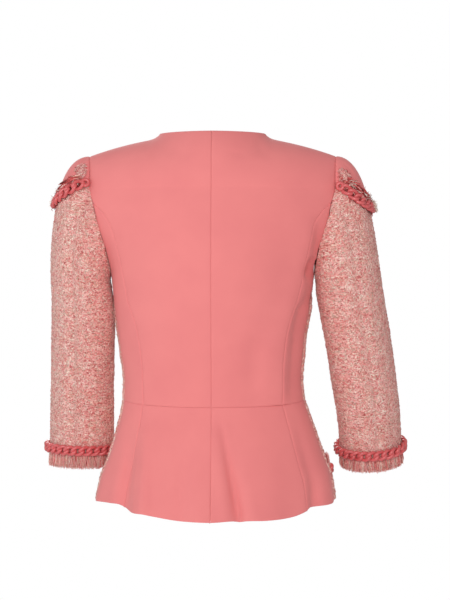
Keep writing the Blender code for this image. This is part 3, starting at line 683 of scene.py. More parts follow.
def crepe_material():
    """Matte coral crepe: a fine pebbled grain and a faint cloudiness."""
    finish = {"Roughness": 0.85, "Sheen_Weight": 0.12, "Sheen_Roughness": 0.5, "Specular_IOR_Level": 0.2}
    shader = Shader("coral_crepe", **finish)
    uv = shader.node("UVMap")
    grain = shader.noise(uv, CREPE_GRAIN, 3, 0.6)
    ribs = shader.noise(shader.stretched(uv, CREPE_RIBS), 1, 2)
    cloud = shader.noise(uv, CREPE_CLOUD, 2)
    base = shader.ramp(cloud, [(0.3, srgb(231, 129, 129)), (0.7, srgb(235, 133, 132))])
    pebbled = shader.mixed(GRAIN_TINT, base, grain, "SOFT_LIGHT")
    return shader.finish(pebbled, shader.mixed(RIB_RELIEF, grain, ribs), CREPE_BUMP)


# Yarns of the tweed: how often each one shows, and its display colour
TWEED_YARNS = [
    (0.10, (204, 108, 108)),
    (0.16, (234, 144, 142)),
    (0.20, (246, 177, 171)),
    (0.18, (253, 205, 197)),
    (0.14, (212, 178, 162)),
    (0.14, (255, 233, 220)),
    (0.08, (230, 160, 155)),
]
# Yarns of the shoulder trim, which come after them on the same scale
TRIM_YARNS = [
    (0.38, (206, 88, 88)),
    (0.26, (178, 66, 66)),
    (0.12, (226, 118, 112)),
    (0.06, (196, 140, 112)),
    (0.18, (124, 46, 44)),
]
# Brighter yarns of the cuff fringe, last on the scale
FRINGE_YARNS = [
    (0.30, (252, 162, 160)),
    (0.25, (255, 204, 196)),
    (0.25, (238, 122, 120)),
    (0.20, (238, 180, 160)),
]
# The shares of the scale that the three sets take
TWEED_TONES = 0.6
TRIM_TONES = 0.25
FRINGE_TONES = 0.15
# painted shade at the borders of the yarn flecks, where the yarns meet
GAP_SHADE = srgb(178, 116, 113)
SLUB_COLOUR = srgb(248, 204, 184)
# What each yarn shows between two crossings, in metres across and along the cloth
WEFT_FLECK = (0.0025, 0.0014)
WARP_FLECK = (0.0013, 0.0022)
YARN_WANDER = 0.0022
WOOL = {"Roughness": 0.92, "Sheen_Weight": 0.15, "Sheen_Roughness": 0.5, "Specular_IOR_Level": 0.15}


def yarn_stops():
    """Colour stops for all the yarns, in order along one scale from 0 to 1."""
    sets = ((TWEED_YARNS, TWEED_TONES), (TRIM_YARNS, TRIM_TONES), (FRINGE_YARNS, FRINGE_TONES))
    stops = []
    place = 0.0
    for yarns, room in sets:
        for share, colour in yarns:
            stops.append((place, srgb(*colour)))
            place += share * room
    return stops


def yarn_cells(shader, vector, size):
    """Flecks of yarn of one size: a colour for each, and its roundness."""
    place = shader.stretched(vector, (1 / size[0], 1 / size[1], 1))
    inputs = {"Vector": place, "Scale": 1}
    cells = add_node(shader.tree, "TexVoronoi", inputs, feature="F1", voronoi_dimensions="2D")
    tone = shader.node("SeparateColor", {0: cells.outputs["Color"]})
    tone = shader.node("Math", {0: tone, 1: TWEED_TONES}, operation="MULTIPLY")
    roundness = shader.rise(cells.outputs["Distance"], *CELL_ROUND, 1, 0)
    return shader.ramp(tone, yarn_stops(), "CONSTANT"), roundness


def tweed_material():
    """Bouclé tweed: short flecks of coral, pink, cream and tan yarn, with faint slubs across, and painted
    shade in the gaps between the flecks.
    """
    shader = Shader("boucle_tweed", **WOOL)
    uv = shader.node("UVMap")
    wander = shader.vector("SUBTRACT", shader.noise(uv, TWEED_WANDER, 1, output="Color"), (0.5, 0.5, 0.5))
    place = shader.vector("ADD", uv, shader.vector("SCALE", wander, YARN_WANDER))
    weft_colour, weft_round = yarn_cells(shader, place, WEFT_FLECK)
    warp_colour, warp_round = yarn_cells(shader, place, WARP_FLECK)
    is_weft = shader.rise(shader.noise(uv, WEFT_PATCHES, 1), *WEFT_SHOWS)
    colour = shader.mixed(is_weft, warp_colour, weft_colour)
    height = shader.mixed(is_weft, warp_round, weft_round)
    # painted shade: each fleck darkens toward its border, where it is lowest
    shade = shader.ramp(height, [(0.0, GAP_SHADE), (0.45, WHITE)])
    colour = shader.mixed(GAP_SHADE_STRENGTH, colour, shade, "MULTIPLY")
    streaks = shader.noise(shader.stretched(uv, TWEED_SLUBS), 1, 2)
    slubs = shader.rise(streaks, *SLUB_SHOWS, 0, SLUB_TINT)
    colour = shader.mixed(slubs, colour, SLUB_COLOUR)
    warmth = shader.noise(uv, TWEED_WARMTH, 3)
    warmth = shader.ramp(warmth, [(0.35, srgb(246, 224, 218)), (0.65, WHITE)])
    colour = shader.mixed(WARMTH_TINT, colour, warmth, "MULTIPLY")
    return shader.finish(colour, height, TWEED_BUMP)


def yarn_material():
    """Loose yarns; the first UV coordinate picks each one's colour, and painted shade darkens the low
    parts of each yarn's twist.
    """
    shader = Shader("loose_yarn", **WOOL)
    uv = shader.node("UVMap")
    pick = shader.node("SeparateXYZ", {0: uv})
    colour = shader.ramp(pick, yarn_stops(), "CONSTANT")
    twist = shader.noise(shader.stretched(uv, YARN_TWIST), 1)
    # painted shade: darker where the twist's relief is low
    shade = shader.ramp(twist, [(0.3, srgb(226, 204, 200)), (0.6, WHITE)])
    return shader.finish(shader.mixed(TWIST_SHADE_STRENGTH, colour, shade, "MULTIPLY"), twist, YARN_BUMP)


def chain_material():
    """Satin lacquered links in a deeper coral."""
    finish = {"Roughness": 0.32, "Coat_Weight": 0.25, "Coat_Roughness": 0.25, "Specular_IOR_Level": 0.5}
    shader = Shader("coral_chain", **finish)
    worn = shader.noise(shader.node("TexCoord", output="Object"), CHAIN_WEAR, 3)
    colour = shader.ramp(worn, [(0.35, srgb(204, 86, 88)), (0.65, srgb(220, 98, 99))])
    return shader.finish(colour, worn, CHAIN_BUMP)


CREPE = crepe_material()
TWEED = tweed_material()
YARN = yarn_material()
CHAIN = chain_material()


# --- cloth ---

SEAM_STEPS = (0.0, 0.4, 0.9, 1.6, 2.8)         # columns beside a seam
SEAM_WIDTH = 1.0
SEAM_DEPTH = 0.6
SIDE_ROLL = 3.2               # how far the tweed rolls out beside the side seam
SIDE_ROLL_AT = 7              # and how far from the seam it does so most
SIDE_ROLL_FADE = 25
# Cloth past an edge, in two strips: how far past it, and how far below it
SEAM_LAPS = np.array([(0.3, 1.2), (3.0, 2.8)])
ARMHOLE_LAPS = np.array([(1.3, 0.0), (3.0, 0.9)])
TUCKED = np.array([(0.05, 0.5), (0.1, 1.1)])
ARMHOLE_LAPS_FADE = 8
TIP_FADE = 14
CREPE_STEP = 3.4
TWEED_STEP = 2.4
TWEED_RELIEF = 0.16
# The cloth stands up along the back princess seam: how far, and the spread on the
# back, whose right edge is that seam, and on the side back
PRINCESS_RIDGE = {
    LEFT: {"height": 0.4, "right": 18, "left": 14},
    RIGHT: {"height": 5.4, "right": 26, "left": 16},
}
# It grows from this far above the waist, or below the seam's top, over the second length
RIDGE_ABOVE_WAIST = (-20, 45)
RIDGE_BELOW_TOP = (10, 40)
# About how wide or long each panel is, which sets its number of columns or rows
BACK_WIDTH = 120
BACK_ROLL_LENGTH = 110
SIDE_BACK_WIDTH = 36
FRONT_WIDTH = 200
FRONT_ROLL_LENGTH = 100
FRONT_CHEST_ROWS = 44
CAP_LENGTH = 130
HEAD_WIDTH = 140
HEAD_LENGTH = 45
HEAD_COLUMN_STEP = 1.6
HEAD_ROW_STEP = 2.4
# The peplum's panels: degrees from centre back, width and cloth
PEPLUM_PANELS = [
    ("back", 0, PEPLUM_SEAM_ANGLE, 125, "crepe"),
    ("side", PEPLUM_SEAM_ANGLE, 90, 85, "crepe"),
    ("front", 90, 180, 200, "tweed"),
]
TOP_OF_MIDDLE = -60           # points inside the body are no higher than this
HEAD_MIDDLE = (165, 0, -75)   # a point inside each sleeve head
HEAD_EDGE_FADE = 0.4          # armhole steps in which a sleeve's top leaves the head's edge
HEAD_PAST = 0.1               # armhole steps that a head goes on past that edge's ends
HEAD_SWELL = 2.0
SWELL_POWER = 0.8
GATHERS = 9                   # small pleats across each sleeve head
GATHER_DEPTH = 0.5
GATHER_DRIFT = (1.1, 9)       # how their spacing drifts: radians, and how fast
GATHER_FADING = (0.4, 17)     # how their depth varies: its share, and how fast


def spaced(length, step, first=True, last=True):
    """Shares from 0 to 1, a step apart, and closer beside the ends that are seams."""
    ends = np.array(SEAM_STEPS) / length
    low = ends if first else np.zeros(1)
    high = 1 - ends[::-1] if last else np.ones(1)
    count = max(2, int(round((high[0] - low[-1]) * length / step)))
    inner = np.linspace(low[-1], high[0], count + 1)[1:-1]
    return np.concatenate([low, inner, high])


def lengths_along(grid, axis):
    """Distance of each point from the grid's first row or column."""
    steps = np.linalg.norm(np.diff(grid, axis=axis), axis=-1)
    start = np.zeros_like(np.take(steps, [0], axis))
    return np.concatenate([start, np.cumsum(steps, axis)], axis)


def grid_normals(grid, inside, closed):
    """Unit normals that point away from the inside, and whether faces must be turned."""
    if closed:
        across = np.roll(grid, -1, 1) - np.roll(grid, 1, 1)
    else:
        across = np.gradient(grid, axis=1)
    normals = unit(np.cross(across, np.gradient(grid, axis=0)))
    away = np.sum(normals * (grid - inside), -1)
    sign = 1 if away.mean() > 0 else -1
    return normals * sign, sign < 0


def crease_height(rows, across, height):
    """How far the creases lift or sink the cloth at each place."""
    total = np.zeros(np.broadcast_shapes(np.shape(across), np.shape(height)))
    for x, z, end_x, end_z, bend, width, depth in rows:
        run, rise = end_x - x, end_z - z
        length = math.hypot(run, rise)
        share = np.clip(((across - x) * run + (height - z) * rise) / length ** 2, 0, 1)
        off = ((across - x) * rise - (height - z) * run) / length - bend * 4 * share * (1 - share)
        fade = np.sin(np.pi * share) ** CREASE_FADE
        total += depth * fade * np.exp(-(off / width) ** 2)
    return total


def body_creases(rows, grid):
    return crease_height(rows, grid[..., 0], grid[..., 2])


def seam_distance(grid, edges):
    """Distance of each point from the nearest of the named edges of a grid."""
    down = lengths_along(grid, 0)
    over = lengths_along(grid, 1)
    far = {"first": down, "last": down[-1:] - down, "left": over, "right": over[:, -1:] - over}
    return np.min([far[edge] for edge in edges.split()], axis=0)


def ditch(grid, edges):
    """The cloth sinks in beside the seams at these edges."""
    return -SEAM_DEPTH * np.exp(-(seam_distance(grid, edges) / SEAM_WIDTH) ** 2)


def side_roll(grid, edge):
    """The thick tweed rolls out beside the side seam."""
    share = seam_distance(grid, edge) / SIDE_ROLL_AT
    return SIDE_ROLL * share * np.exp(1 - share)


def princess_ridge(side, grid, edge):
    """The soft fold that stands up along the princess seam, fading at its ends."""
    ridge = PRINCESS_RIDGE[side]
    above = (grid[..., 2] - WAIST - RIDGE_ABOVE_WAIST[0]) / RIDGE_ABOVE_WAIST[1]
    below = (PRINCESS_TOP - RIDGE_BELOW_TOP[0] - grid[..., 2]) / RIDGE_BELOW_TOP[1]
    spread = seam_distance(grid, edge) / ridge[edge]
    return ridge["height"] * smooth(below) * smooth(above) * np.exp(-spread ** 2)


def relief(grid, closed=False):
    """Uneven lumps about the size of the grid's cells."""
    noise = RANDOM.normal(size=grid.shape[:2])
    blurred = noise + 0.5 * (np.roll(noise, 1, 1) + np.roll(noise, -1, 1))
    if not closed:
        blurred[:, 0] = blurred[:, -1] = 0
    blurred[0] = blurred[-1] = 0
    return TWEED_RELIEF * blurred


def make_mesh(name, points, faces, uvs, material):
    """A smooth mesh object; uvs has a row for each corner of each face."""
    mesh = bpy.data.meshes.new(name)
    mesh.from_pydata((points * MILLIMETRE).tolist(), [], faces.tolist())
    mesh.uv_layers.new(name="UVMap").data.foreach_set("uv", uvs.astype(np.float32).ravel())
    mesh.shade_smooth()
    mesh.validate()
    mesh.materials.append(material)
    item = bpy.data.objects.new(name, mesh)
    bpy.context.scene.collection.objects.link(item)
    return item


def give(item, slot, *nodes):
    """Hand a finished piece to the frame."""
    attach(item, "root")
    if nodes:
        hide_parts(*nodes)
    return item


def quads(rows, columns, closed):
    """Corner indices of a grid's faces, and of the same corners in its UV grid."""
    across = np.arange(columns if closed else columns - 1)
    row, column = (places.ravel() for places in np.meshgrid(np.arange(rows - 1), across, indexing="ij"))

    def corners(width, after):
        upper, lower = row * width, (row + 1) * width
        return np.stack([upper + column, upper + after, lower + after, lower + column], 1)

    wide = columns + 1 if closed else columns
    return corners(columns, (column + 1) % columns), corners(wide, column + 1)


class Cloth:
    """One panel's surface, before it becomes a mesh."""

    def __init__(self, grid, inside, closed=False):
        self.grid = grid
        self.closed = closed
        self.inside = inside
        self.normals, self.is_turned = grid_normals(grid, inside, closed)

    def push(self, amount):
        """Move the surface outward by an amount for each point."""
        self.grid = self.grid + self.normals * amount[..., None]
        self.normals, self.is_turned = grid_normals(self.grid, self.inside, self.closed)

    def add_laps(self, edge, laps=SEAM_LAPS):
        """Strips past an edge, which go in below the next panel; laps may change along it."""
        axis = 0 if edge == "first" else 1
        at_end = edge == "right"
        outer, inner = (-1, -2) if at_end else (0, 1)
        border, normal = np.take(self.grid, [outer], axis), np.take(self.normals, [outer], axis)
        away = unit(border - np.take(self.grid, [inner], axis))
        laps = np.expand_dims(laps.reshape(len(laps), -1, 2), axis + 1)
        strips = [border + away * lap[..., :1] - normal * lap[..., 1:] for lap in laps]

        def joined(own, added):
            return np.concatenate([own] + added if at_end else added[::-1] + [own], axis)

        self.grid = joined(self.grid, strips)
        self.normals = joined(self.normals, [normal] * len(strips))

    def seam_closed(self):
        """The grid, with its first column again at the end where it goes all round."""
        return np.concatenate([self.grid, self.grid[:, :1]], 1) if self.closed else self.grid

    def uv_grid(self):
        """Places in metres: across the panel and along it."""
        grid = self.seam_closed()
        over, down = lengths_along(grid, 1), lengths_along(grid, 0)
        if self.closed:
            over = over[:, -1].mean() * np.linspace(0, 1, grid.shape[1])
            down = down - down[-1:]
        return np.stack(np.broadcast_arrays(over, down), -1) * MILLIMETRE

    def build(self, name, material, thickness):
        faces, places = quads(*self.grid.shape[:2], self.closed)
        if self.is_turned:
            faces, places = faces[:, ::-1], places[:, ::-1]
        shift = RANDOM.uniform(0, 3, 2)
        uvs = self.uv_grid().reshape(-1, 2)[places] + shift
        item = make_mesh(name, self.grid.reshape(-1, 3), faces, uvs, material)
        solid = item.modifiers.new("thickness", "SOLIDIFY")
        solid.thickness = thickness * MILLIMETRE
        solid.offset = -1
        return item

    def area(self):
        """Square metres of the surface."""
        grid = self.seam_closed()
        first = grid[1:, 1:] - grid[:-1, :-1]
        second = grid[1:, :-1] - grid[:-1, 1:]
        return np.linalg.norm(np.cross(first, second), axis=-1).sum() / 2 * MILLIMETRE ** 2


def trimmed(grid, margins):
    """Pull the edges of a grid in by a margin each: first, last, left, right."""
    grid = grid.copy()
    first, last, left, right = margins
    grid[0] += unit(grid[1] - grid[0]) * first
    grid[-1] += unit(grid[-2] - grid[-1]) * last
    grid[:, 0] += unit(grid[:, 1] - grid[:, 0]) * left
    grid[:, -1] += unit(grid[:, -2] - grid[:, -1]) * right
    return grid


def panel(grid, seams, height, margins=(SEAM_MARGIN,) * 4):
    """A panel of the body, lifted by a height at each point and sunk beside its seams."""
    middle = points_at(grid[..., 0] * 0.5, 0, np.minimum(grid[..., 2], TOP_OF_MIDDLE))
    cloth = Cloth(trimmed(grid, margins), middle)
    cloth.push(height + ditch(grid, seams))
    return cloth


def laps_between(lower, upper, share):
    """Laps that change along an edge, from one kind to another."""
    lower, upper = (laps.reshape(len(laps), -1, 2) for laps in (lower, upper))
    return mix(lower, upper, share[:, None])


def armhole_laps(cloth, lower, level):
    """Laps along the outer edge: the armhole's above a level, and the lower kind below it."""
    return laps_between(lower, ARMHOLE_LAPS, smooth((cloth.grid[:, -1, 2] - level) / ARMHOLE_LAPS_FADE))


FINISHES = {"crepe": (CREPE, CREPE_THICKNESS), "tweed": (TWEED, TWEED_THICKNESS)}
CLOTHS = {}


def keep(node, cloth, slot, edge=None):
    """Build a panel, with a seam allowance at an edge, in the place of its solid."""
    if edge:
        cloth.add_laps(edge)
    item = cloth.build(node + "_cloth", *FINISHES[slot])
    CLOTHS[node] = (cloth, give(item, slot, node), slot)


def make_back(side):
    columns = spaced(BACK_WIDTH, CREPE_STEP)
    heights = mix(WAIST, BACK_ROLL, spaced(BACK_ROLL - WAIST, CREPE_STEP, last=False))[:, None]
    roll = spaced(BACK_ROLL_LENGTH, CREPE_STEP, first=False)[1:, None]
    shares = np.where(heights < PRINCESS_TOP, princess_share(heights), 1) * columns
    low = bodice_point(side, "back", shares, heights)
    grid = np.concatenate([low, roll_point(side, "back", columns, roll)])
    folds = body_creases(BACK_CREASES, grid) + princess_ridge(side, grid, "right")
    cloth = panel(grid, "first last left right", folds)
    cloth.add_laps("right", armhole_laps(cloth, TUCKED, PRINCESS_TOP))
    keep("back_" + SIDE_NAMES[side], cloth, "crepe", "left" if side == LEFT else None)


def make_side_back(side):
    columns = spaced(SIDE_BACK_WIDTH, CREPE_STEP)
    heights = mix(WAIST, SIDE_BACK_TOP, spaced(SIDE_BACK_TOP - WAIST, CREPE_STEP))[:, None]
    grid = bodice_point(side, "back", mix(princess_share(heights), 1, columns), heights)
    folds = body_creases(BACK_CREASES, grid) + princess_ridge(side, grid, "left")
    cloth = panel(grid, "first left right", folds)
    below_tip = smooth((SIDE_BACK_TOP - cloth.grid[:, -1, 2]) / TIP_FADE)
    outer = armhole_laps(cloth, SEAM_LAPS, UNDERARM)
    cloth.add_laps("right", laps_between(TUCKED, outer, below_tip))
    cloth.add_laps("left", laps_between(TUCKED, SEAM_LAPS, below_tip))
    keep("side_back_" + SIDE_NAMES[side], cloth, "crepe")


def make_front(side):
    columns = spaced(FRONT_WIDTH, TWEED_STEP)
    low = mix(WAIST, UNDERARM, spaced(UNDERARM - WAIST, TWEED_STEP, last=False))[:, None]
    up = np.linspace(0, 1, FRONT_CHEST_ROWS + 1)[1:, None]
    roll = spaced(FRONT_ROLL_LENGTH, TWEED_STEP, first=False)[1:, None]
    chest = mix(UNDERARM, roll_start("front", columns), up)
    grid = np.concatenate([
        bodice_point(side, "front", columns, low),
        bodice_point(side, "front", columns, chest),
        roll_point(side, "front", columns, roll),
    ])
    below_armhole = smooth((UNDERARM - SIDE_ROLL_FADE - grid[..., 2]) / SIDE_ROLL_FADE)
    folds = body_creases(FRONT_CREASES, grid) + side_roll(grid, "right") * below_armhole
    margins = (SEAM_MARGIN, SEAM_MARGIN, FRONT_EDGE_MARGIN, SEAM_MARGIN)
    cloth = panel(grid, "first last left right", folds + relief(grid), margins)
    cloth.add_laps("right", armhole_laps(cloth, TUCKED, UNDERARM))
    keep("front_" + SIDE_NAMES[side], cloth, "tweed")


def make_peplum(side):
    for name, first, last, width, slot in PEPLUM_PANELS:
        step = CREPE_STEP if slot == "crepe" else TWEED_STEP
        angles = mix(first, last, spaced(width, step))
        drops = spaced(WAIST - HEM, step)
        grid = peplum_point(side, angles[None], drops[:, None])
        end = FRONT_EDGE_MARGIN if last == 180 else SEAM_MARGIN
        if slot == "tweed":
            folds = side_roll(grid, "left") + relief(grid)
        else:
            folds = body_creases(PEPLUM_CREASES, grid)
        cloth = panel(grid, "first last left right", folds, (SEAM_MARGIN, 0, SEAM_MARGIN, end))
        if first > 0 or side == LEFT:
            above_hem = smooth((cloth.grid[:, 0, 2] - cloth.grid[-1, 0, 2]) / TIP_FADE)
            cloth.add_laps("left", laps_between(TUCKED, SEAM_LAPS, above_hem))
        keep("peplum_" + name + "_" + SIDE_NAMES[side], cloth, slot, "first")


def make_sleeve(side):
    """The tweed tube, its columns counted from the underarm round the outside."""
    cap = CAPS[side]
    count = round(2 * np.pi * SLEEVE_RADIUS / TWEED_STEP)
    column = cap.underarm + np.arange(count) * ARMHOLE_STEPS / count - ARMHOLE_STEPS
    past = np.clip((np.abs(column) - HEAD_REACH[side]) / HEAD_EDGE_FADE, 0, 1)
    start = mix(cap.head_share(column), 0, past)
    shares = spaced(CAP_LENGTH, TWEED_STEP, last=False)[:, None]
    angles = cap.angle(column)
    low = spaced(SLEEVE_TOP - SLEEVE_HEM, TWEED_STEP, first=False)[1:, None]
    tube = np.broadcast_arrays(angles, mix(SLEEVE_TOP, SLEEVE_HEM, low))
    grid = np.concatenate([cap.point(column, mix(start, 1, shares)), tube_point(side, *tube)])
    level = np.clip(grid[..., 2].mean(1), SLEEVE_HEM, SLEEVE_TOP)
    middle = np.broadcast_to(sleeve_centre(side, level)[:, None], grid.shape)
    cloth = Cloth(grid, middle, closed=True)
    rows = np.array(SLEEVE_CREASES[side], float)
    rows[:, [0, 2]] = np.radians(rows[:, [0, 2]]) * SLEEVE_RADIUS
    around = np.mod(angles, 2 * np.pi) * SLEEVE_RADIUS
    cloth.push(crease_height(rows, around, grid[..., 2]) + relief(grid, closed=True))
    keep("sleeve_" + SIDE_NAMES[side], cloth, "tweed", "first")


def gathers(along):
    """Small uneven pleats across a sleeve head."""
    drift = GATHER_DRIFT[0] * np.sin(GATHER_DRIFT[1] * along)
    depth = 1 - GATHER_FADING[0] * (1 - np.sin(GATHER_FADING[1] * along))
    return GATHER_DEPTH * np.sin(2 * np.pi * GATHERS * along + drift) * depth


def make_sleeve_head(side):
    cap = CAPS[side]
    end = HEAD_REACH[side] + HEAD_PAST
    along = spaced(HEAD_WIDTH, HEAD_COLUMN_STEP, first=False, last=False)
    columns = mix(-end, end, along)
    shares = spaced(HEAD_LENGTH, HEAD_ROW_STEP)[:, None]
    grid = cap.point(columns, cap.head_share(columns) * shares)
    x, y, z = HEAD_MIDDLE
    middle = points_at(side * x, y, z + 0 * grid[..., 2])
    cloth = Cloth(trimmed(grid, (SEAM_MARGIN, SEAM_MARGIN, 0, 0)), middle)
    swell = np.sin(np.pi * shares) ** SWELL_POWER * np.cos(np.pi / 2 * columns / end)
    creases = crease_height(HEAD_CREASES[side], columns * HEAD_STEP_SIZE, -lengths_along(grid, 0))
    cloth.push((gathers(along) * (1 - shares) + HEAD_SWELL) * swell + creases + ditch(grid, "first"))
    keep("sleeve_head_" + SIDE_NAMES[side], cloth, "crepe")


for side in (LEFT, RIGHT):
    for make in (make_back, make_side_back, make_front, make_peplum, make_sleeve, make_sleeve_head):
        make(side)


# --- yarns ---

THREAD_TAPER = 0.45
THREAD_SIDES = 3
THREAD_RINGS = 4              # along a thick yarn
FINE_RINGS = 3


def circle(along, first, sides):
    """Unit vectors round each direction, on a new axis before the last."""
    turn = (np.arange(sides) * 2 * np.pi / sides)[:, None]
    second = np.cross(along, first)
    return first[..., None, :] * np.cos(turn) + second[..., None, :] * np.sin(turn)


def thread_mesh(name, rings, roots, runs, arches, sags, radii, picks):
    """Many short bent yarns in one mesh.

    A yarn goes from its root along its run, bows out by its arch in the middle
    and bends by its sag towards the tip.
    """
    count = len(roots)
    share = np.linspace(0, 1, rings)[:, None]
    centres = roots[:, None] + runs[:, None] * share
    centres = centres + arches[:, None] * 4 * share * (1 - share) + sags[:, None] * share ** 2
    along = unit(np.gradient(centres, axis=1))
    first = unit(np.cross(along, unit(RANDOM.normal(size=(count, 1, 3)))))
    size = radii[:, None, None] * (1 - THREAD_TAPER * share)
    points = centres[:, :, None] + circle(along, first, THREAD_SIDES) * size[:, :, None]
    one = quads(rings, THREAD_SIDES, closed=True)[0]
    faces = one + np.arange(count)[:, None, None] * rings * THREAD_SIDES
    uvs = np.stack(np.broadcast_arrays(picks[:, None, None], one // THREAD_SIDES / (rings - 1)), -1)
    return make_mesh(name, points.reshape(-1, 3), faces.reshape(-1, 4), uvs.reshape(-1, 2), YARN)


def keep_threads(name, slot, batches, *nodes, rings=FINE_RINGS):
    """Join batches of yarns into one mesh and hand it to the frame."""
    joined = [np.concatenate(values) for values in zip(*batches)]
    return give(thread_mesh(name, rings, *joined), slot, *nodes)


def drawn(count, low, high):
    """A random number for each yarn, as a column that scales its vector."""
    return RANDOM.uniform(low, high, count)[:, None]


def scatter(count, spread):
    return drawn(count, -spread, spread)


# Ranges on the scale of yarn colours
TONES = {
    "tweed": (0.0, TWEED_TONES),
    "pink": (0.1 * TWEED_TONES, 0.6 * TWEED_TONES),
    "pale": (0.74 * TWEED_TONES, 0.92 * TWEED_TONES),
    "trim": (TWEED_TONES, TWEED_TONES + TRIM_TONES),
    "coral": (TWEED_TONES, TWEED_TONES + 0.6 * TRIM_TONES),
    "dark": (TWEED_TONES + 0.83 * TRIM_TONES, TWEED_TONES + TRIM_TONES),
    "fringe": (TWEED_TONES + TRIM_TONES, 1.0),
}
# How often each range is drawn from
MIXES = {
    "tweed": {"tweed": 1.0},
    "cuff": {"fringe": 0.72, "tweed": 0.1, "pale": 0.1, "coral": 0.08},
    "braid": {"fringe": 0.15, "pale": 0.03, "coral": 0.72, "dark": 0.1},
    "curls": {"tweed": 0.2, "pale": 0.4, "trim": 0.4},
    "patch": {"tweed": 0.4, "pink": 0.45, "coral": 0.15},
    "rough": {"fringe": 0.35, "trim": 0.5, "tweed": 0.15},
    # painted shade: dark yarns that stand for the shadow under the chain's links
    "shade_under_chain": {"dark": 0.8, "trim": 0.2},
    "tuft": {"pale": 1.0},
}


def tones(count, kind="tweed"):
    """Places on the scale of yarn colours, drawn from one of the mixes."""
    shares = MIXES[kind]
    names = RANDOM.choice(list(shares), count, p=list(shares.values()))
    low, high = np.array([TONES[name] for name in names]).T
    return RANDOM.uniform(low, high)


Lock = namedtuple("Lock", "length spread lift sideways depth radius arch sag mix")
LOCKS = {
    # yarns that hang below the cuff chain and the peplum chain
    "cuff": Lock(21, (0.8, 1.06), 0.9, 0.22, 1.7, 0.4, 0.0, 0.0, "cuff"),
    # crinkled ends among them
    "crinkles": Lock(4.5, (0.5, 1.5), 0.5, 2.2, 0.9, 0.36, 0.9, -0.4, "cuff"),
    "peplum": Lock(29, (0.75, 1.1), 2.5, 0.10, 0.8, 0.45, 0.0, 0.0, "cuff"),
    # thick yarns that lie in a band over the sleeve head, above the shoulder chain
    "braid": Lock(15, (0.7, 1.1), 1.8, 0.22, 1.3, 1.5, 2.6, -3.0, "braid"),
    # fine yarns among and above them
    "frays": Lock(14, (0.5, 1.2), 2.2, 0.6, 1.2, 0.4, 2.0, -1.5, "curls"),
    # curly yarns on top of them
    "curls": Lock(7, (0.6, 1.5), 3.4, 2.5, 1.2, 0.42, 1.6, -0.5, "curls"),
    # looped yarns that lie over the chain itself
    "loops": Lock(9, (0.7, 1.3), 5.5, 1.0, 1.2, 0.75, 2.6, -2.5, "braid"),
    # dark yarns under the chain: painted shade that stands for the shadow in the gaps between its links
    "shade_under_chain": Lock(9, (0.6, 1.2), 0.3, 0.6, 0.5, 0.9, 0.4, -0.5, "shade_under_chain"),
    # the loose tuft at the outermost place
    "tuft": Lock(7.5, (0.5, 1.3), 3.5, 1.3, 1.2, 0.45, 1.2, -1.5, "tuft"),
}
# How unevenly the yarns of a lock lie
ROOT_SCATTER = 0.6
LEAN_OUT = 0.06
LIFT_SHARES = (0.2, 1.2)
ARCH_SHARES = (0.3, 1)
RADIUS_SHARES = (0.7, 1.3)
BOW = (1.1, 0.6)              # in the middle: beside their line, and off the cloth
BEND = (1.6, 0.8)             # and at the tip


def grow(roots, aside, normals, hang, lock):
    """Yarns that lie along a direction from a line of roots, unevenly."""
    count = len(roots)
    reach = lock.length * drawn(count, *lock.spread)
    start = roots + normals * scatter(count, lock.depth) + aside * scatter(count, ROOT_SCATTER)
    lean = aside * scatter(count, lock.sideways) + normals * scatter(count, LEAN_OUT)
    lift = normals * lock.lift * drawn(count, *LIFT_SHARES)
    arch = normals * lock.arch * drawn(count, *ARCH_SHARES)
    arches = aside * scatter(count, BOW[0]) + normals * scatter(count, BOW[1]) + arch
    sags = aside * scatter(count, BEND[0]) + normals * (scatter(count, BEND[1]) + lock.sag)
    radii = lock.radius * RANDOM.uniform(*RADIUS_SHARES, count)
    return start, unit(hang + lean) * reach + lift, arches, sags, radii, tones(count, lock.mix)


LOOP_SPACING = 18             # square millimetres of tweed for each yarn that stands up
LOOP_EDGE = 6                 # rows and columns beside a seam that have none
LOOP_TURN = 0.75              # how far they turn from straight across, in radians
LOOP_LENGTH = (2.2, 6)
LOOP_HEIGHT = (0.3, 0.75)
LOOP_BOW = 0.9
LOOP_BEND = 0.5
LOOP_RADIUS = (0.34, 0.62)
LOOP_SINK = 0.2               # how far their roots lie below the surface


def make_loops(node, cloth):
    """Short loops and slubs of yarn that stand up from a tweed panel, mostly across it."""
    rows, columns = cloth.grid.shape[:2]
    count = int(cloth.area() / MILLIMETRE ** 2 / LOOP_SPACING)
    edge = 0 if cloth.closed else LOOP_EDGE
    row = RANDOM.integers(LOOP_EDGE, rows - LOOP_EDGE, count)
    column = RANDOM.integers(edge, columns - edge, count)
    root, normal = cloth.grid[row, column], cloth.normals[row, column]
    over = cloth.grid[row, (column + 1) % columns] - root
    root = root + over * drawn(count, 0, 1)
    over = unit(over)
    up = np.cross(normal, over)
    angle = RANDOM.normal(0, LOOP_TURN, count)[:, None]
    run = (over * np.cos(angle) + up * np.sin(angle)) * drawn(count, *LOOP_LENGTH)
    arch = normal * drawn(count, *LOOP_HEIGHT) + up * scatter(count, LOOP_BOW)
    radii = RANDOM.uniform(*LOOP_RADIUS, count)
    start = root - run / 2 - normal * LOOP_SINK
    batch = (start, run, arch, up * scatter(count, LOOP_BEND), radii, tones(count))
    return keep_threads(node + "_loops", "tweed", [batch])


# --- paths on the cloth ---

